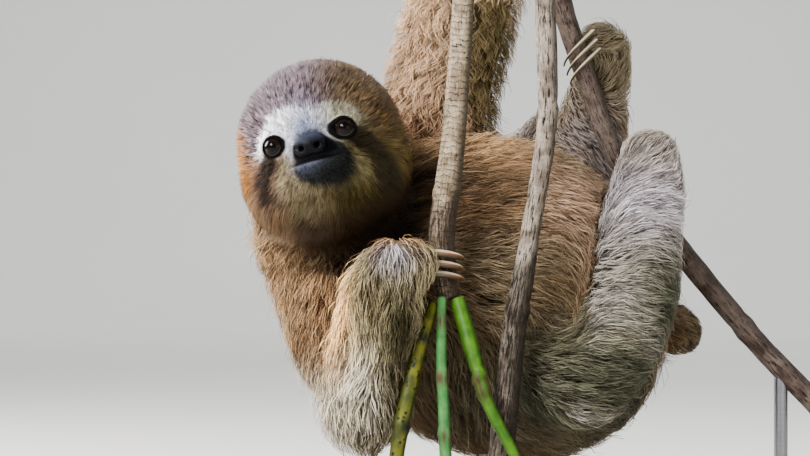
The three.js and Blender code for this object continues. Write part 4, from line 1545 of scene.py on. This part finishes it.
# One piece of coat. Each hair is led over the skin in steps, the way that its neighbours lie, and
# rises from it by a growing share of its height.
def growCoat(name, settings, faces, rng):
    settings = lockShape | settings
    roots, face = coatRoots(name, settings, faces, rng)
    onHead = settings["parts"] == ["head"]
    if onHead:
        keep = headBare(toHead(roots)) < rng.uniform(0.25, 0.7, len(roots))
        roots, face = roots[keep], face[keep]
        long, wide, high = headHair(toHead(roots))
    else:
        long, wide, high = bodyHair(roots, faces["normals"][face], settings, rng)
    count = len(roots)
    guides = name.replace("_upper", "").replace("_lower", "")  # the trunk's halves are combed as one

    # Each hair belongs to the clump whose parent hair is rooted nearest.
    parents = rng.choice(count, max(2, count // settings["clump"]), replace=False)
    chunks = np.array_split(roots, 12)
    clump = [np.argmin(((chunk[:, None] - roots[parents][None]) ** 2).sum(-1), 1) for chunk in chunks]
    clump = np.concatenate(clump)
    clumpDice = rng.random((len(parents), 4))[clump]
    dice = rng.random((count, 6))
    # Lengths differ by clump and by hair, and a few hairs stand out from the rest.
    long = long * (0.75 + 0.35 * clumpDice[:, 0] + 0.2 * dice[:, 0])
    high = high * np.where(dice[:, 1] > 0.965, 1.2 + (0.2 if onHead else 0.6) * dice[:, 5], 1)

    rings = settings["rings"]
    swirl = settings["swirl"] * (1 + 3 * ease(-18, -30, toHead(roots)[:, 2]) * onHead)
    phase = 2 * math.pi * (clumpDice[:, 1] + 0.25 * dice[:, 2])
    turns = 2.5 + 5 * clumpDice[:, 3]
    here = roots - settings["sunk"] * faces["normals"][face] * np.minimum(1, wide / 0.5)[:, None]
    spine, outward = [here], [bodyField.outward(here)]
    for step in range(1, rings + 1):
        share = step / rings
        out = outward[-1]
        way = headLie(here) if onHead else bodyLie(here, guides)
        way = unit(way - np.sum(way * out, 1, keepdims=True) * out)
        swing = settings["curl"] * 2 * np.sin(phase + share * turns) + 0.3 * (dice[:, 3] - 0.5)
        swing = swing + swirl * noise(here / 13, 8)
        way = unit(way + swing[:, None] * np.cross(out, way))
        here = here + way * (long / rings)[:, None]
        out = bodyField.outward(here)
        rise = share**0.85 if name == "coat_face" else min(1, share / (0.7 if onHead else 0.5)) ** 0.8
        here = here + out * (high * rise - bodyField.at(here))[:, None] * 0.92
        spine.append(here)
        outward.append(out)
    spine, outward = np.stack(spine, 1), np.stack(outward, 1)
    pull = settings["pull"] * np.linspace(0, 1, rings + 1) ** 1.3 * (0.4 + 0.6 * dice[:, 4:5])
    spine = spine + (spine[parents][clump] - spine) * pull[..., None]
    # A hair that would run through something is cut to a third, or left out.
    whole = ~blocked(spine[:, 1:])
    spine = np.where(whole[:, None, None], spine, spine[:, :1] + (spine - spine[:, :1]) * 0.36)
    free = whole | ~blocked(spine[:, 1:])
    mark = spine[:, 1] + (spine[:, -1] - spine[:, 1]) * (0.9 * dice[:, 2:3] - 0.1)
    ownShare = settings["strand"] * (dice[:, 5] - clumpDice[:, 2])
    tuft = 0.5 + settings["contrast"] * (clumpDice[:, 2] + ownShare - 0.5)
    facts = {"root": roots, "mark": mark, "tuft": tuft, "part": faces["part"][face]}
    facts = {key: values[free] for key, values in facts.items()}
    return lockMesh(name, settings, spine[free], outward[free], wide[free], facts)


# Each lock is a three-sided spike along its spine: rings of three points, flatter than they are
# wide, then a tip and a cap at the root. Its patch of the bake's map is at its root's place.
def lockMesh(name, settings, spine, outward, wide, facts):
    rings, count = settings["rings"], len(spine)
    share = np.arange(rings) / rings
    swell = (0.6 + 0.4 * ease(0, 0.3, share)) * (1 - 0.75 * share**2)
    tangent = unit(np.gradient(spine, axis=1))[:, :-1]
    side = unit(np.cross(tangent, outward[:, :-1]))
    out = np.cross(side, tangent)
    half = wide[:, None] * swell * 0.5
    thick = half * settings["thick"] * 2
    centre = spine[:, :-1]
    left = centre + side * half[..., None] - out * (thick / 3)[..., None]
    right = centre - side * half[..., None] - out * (thick / 3)[..., None]
    top = centre + out * (thick * 2 / 3)[..., None]
    points = np.concatenate([np.stack([left, top, right], 2).reshape(count, -1, 3), spine[:, -1:]], 1)
    each = 3 * rings + 1

    # The faces of one lock, and where their corners are: round it, and along it in rings.
    quads, quadPlace = [], []
    triangles, trianglePlace = [[2, 1, 0]], [(2, 0), (1, 0), (0, 0)]
    for k in range(rings):
        for j in range(3):
            a, b = 3 * k + j, 3 * k + (j + 1) % 3
            if k < rings - 1:
                quads.append([a, b, b + 3, a + 3])
                quadPlace += [(j, k), (j + 1, k), (j + 1, k + 1), (j, k + 1)]
            else:
                triangles.append([a, b, each - 1])
                trianglePlace += [(j, k), (j + 1, k), (j + 0.5, rings)]
    starts = np.arange(count)[:, None, None] * each
    faces = [(starts + np.array(f)[None]).reshape(-1, len(f[0])) for f in (quads, triangles)]
    rootPlace = 0.01 + 0.98 * unwrap(facts["root"], settings["parts"])
    uv = []
    for place in (quadPlace, trianglePlace):
        offset = (np.array(place) / [3, rings] - 0.5) * settings["patch"]
        uv.append((rootPlace[:, None] + offset[None]).reshape(-1, 2))
    attributes = {
        "marking": np.repeat(markings(facts["mark"], facts["part"]), each, axis=0),
        "along": np.tile(np.append(np.repeat(share, 3), 1.0), count),
        "tuft": np.repeat(facts["tuft"], each),
    }
    return makeObject(name, points.reshape(-1, 3), faces, attributes, np.concatenate(uv))


# Hair: darker at the root, painted shade deep in the coat, and paler at the tip, each tuft a little
# lighter, darker or warmer.
def makeCoatMaterial(start):
    marking = attribute(start, "marking")
    along = attribute(start, "along", 2)
    tuft = attribute(start, "tuft", 2)
    # Darker towards the root: painted shade deep in the coat.
    shade = marking.scaled((0.42 + 0.98 * along**0.8) * (0.15 + 1.7 * tuft.between(-0.3, 1.3)))
    warm = tuft.between(0.55, 0.2) * 0.2
    shade = warm.mixed(shade, colour(150, 104, 70), "SOFT_LIGHT")
    tip = along.between(0.55, 1.0) * 0.04
    shade = tip.mixed(shade, colour(236, 226, 204))
    return {"Base Color": shade, "Roughness": 0.5, "Specular IOR Level": 0.12}


def makeCoat():
    material = makeMaterial("coat", makeCoatMaterial)
    faces = skinFaces()
    rng = np.random.default_rng(4)
    for name, settings in coat.items():
        piece = growCoat(name, settings, faces, rng)
        finishPiece(piece, material)
        print(name, len(piece.data.polygons))


makeCoat()
print("coat finished")

# Each light has its name, place and target (mm), width (mm), power (W) and tint.
studio = {
    "floor": (0.72, 0.72, 0.7),
    "backdrop": 4300,  # how far behind the object the floor turns up
    "bend": 900,
    "steps": 24,  # of the bend
    "height": 4500,
    "reach": 9000,  # to each side, and in front
    "lights": [
        ("key", (-1150, -1250, 1350), (0, 0, 200), 800, 82, (1, 0.99, 0.97)),
        ("catch", (-640, -1300, 900), (-70, -60, 215), 180, 9, (0.96, 0.98, 1)),
        ("fill", (1300, -1500, 500), (0, 0, 180), 1400, 13, (1, 0.96, 0.9)),
        ("rimLeft", (-1100, 500, 700), (-40, 0, 220), 700, 44, (1, 0.98, 0.94)),
        ("rimRight", (700, 600, 1200), (60, 0, 220), 700, 14, (1, 0.98, 0.94)),
        ("backdrop", (0, 3300, 3600), (0, 5100, 700), 1800, 130, (1, 1, 1)),
    ],
    "world": (0.75, 0.77, 0.8),
    "worldStrength": 0.4,
}


def makeBackdropMaterial(start):
    patch = objectPlace(start).texture("Noise", 3, Detail=2)
    shade = patch.mixed(studio["floor"], tuple(0.94 * c for c in studio["floor"]))
    return {"Base Color": shade, "Roughness": 0.9}


# The floor runs back and bends up into the backdrop: a line carried across.
def makeFloor():
    back, bend, reach = studio["backdrop"], studio["bend"], studio["reach"]
    turn = np.linspace(0, math.pi / 2, studio["steps"])
    y = np.concatenate([[-reach, 0], back + np.sin(turn) * bend, [back + bend]])
    z = np.concatenate([[0, 0], bend - np.cos(turn) * bend, [studio["height"]]])
    points = np.array([(x, *place) for place in zip(y, z) for x in (-reach, reach)])
    floor = makeObject("floor", points, [gridQuads(len(y), 2, closed=False)])
    floor.data.materials.append(makeMaterial("floor", makeBackdropMaterial))


def makeLight(name, place, target, size, power, tint):
    light = bpy.data.lights.new(name, "AREA")
    light.shape = "DISK"
    light.size = size * toMetres
    light.energy = power
    light.color = tint
    lamp = bpy.data.objects.new(name, light)
    bpy.context.scene.collection.objects.link(lamp)
    lamp.location = [c * toMetres for c in place]
    towards = unit(np.array(target, float) - place)
    lamp.rotation_euler = (math.acos(-towards[2]), 0, math.atan2(towards[1], towards[0]) - math.pi / 2)


def makeStudio():
    makeFloor()
    for light in studio["lights"]:
        makeLight(*light)
    world = bpy.data.worlds.new("studio")
    world.use_nodes = True
    background = world.node_tree.nodes["Background"]
    background.inputs["Color"].default_value = (*studio["world"], 1)
    background.inputs["Strength"].default_value = studio["worldStrength"]
    bpy.context.scene.world = world


makeStudio()
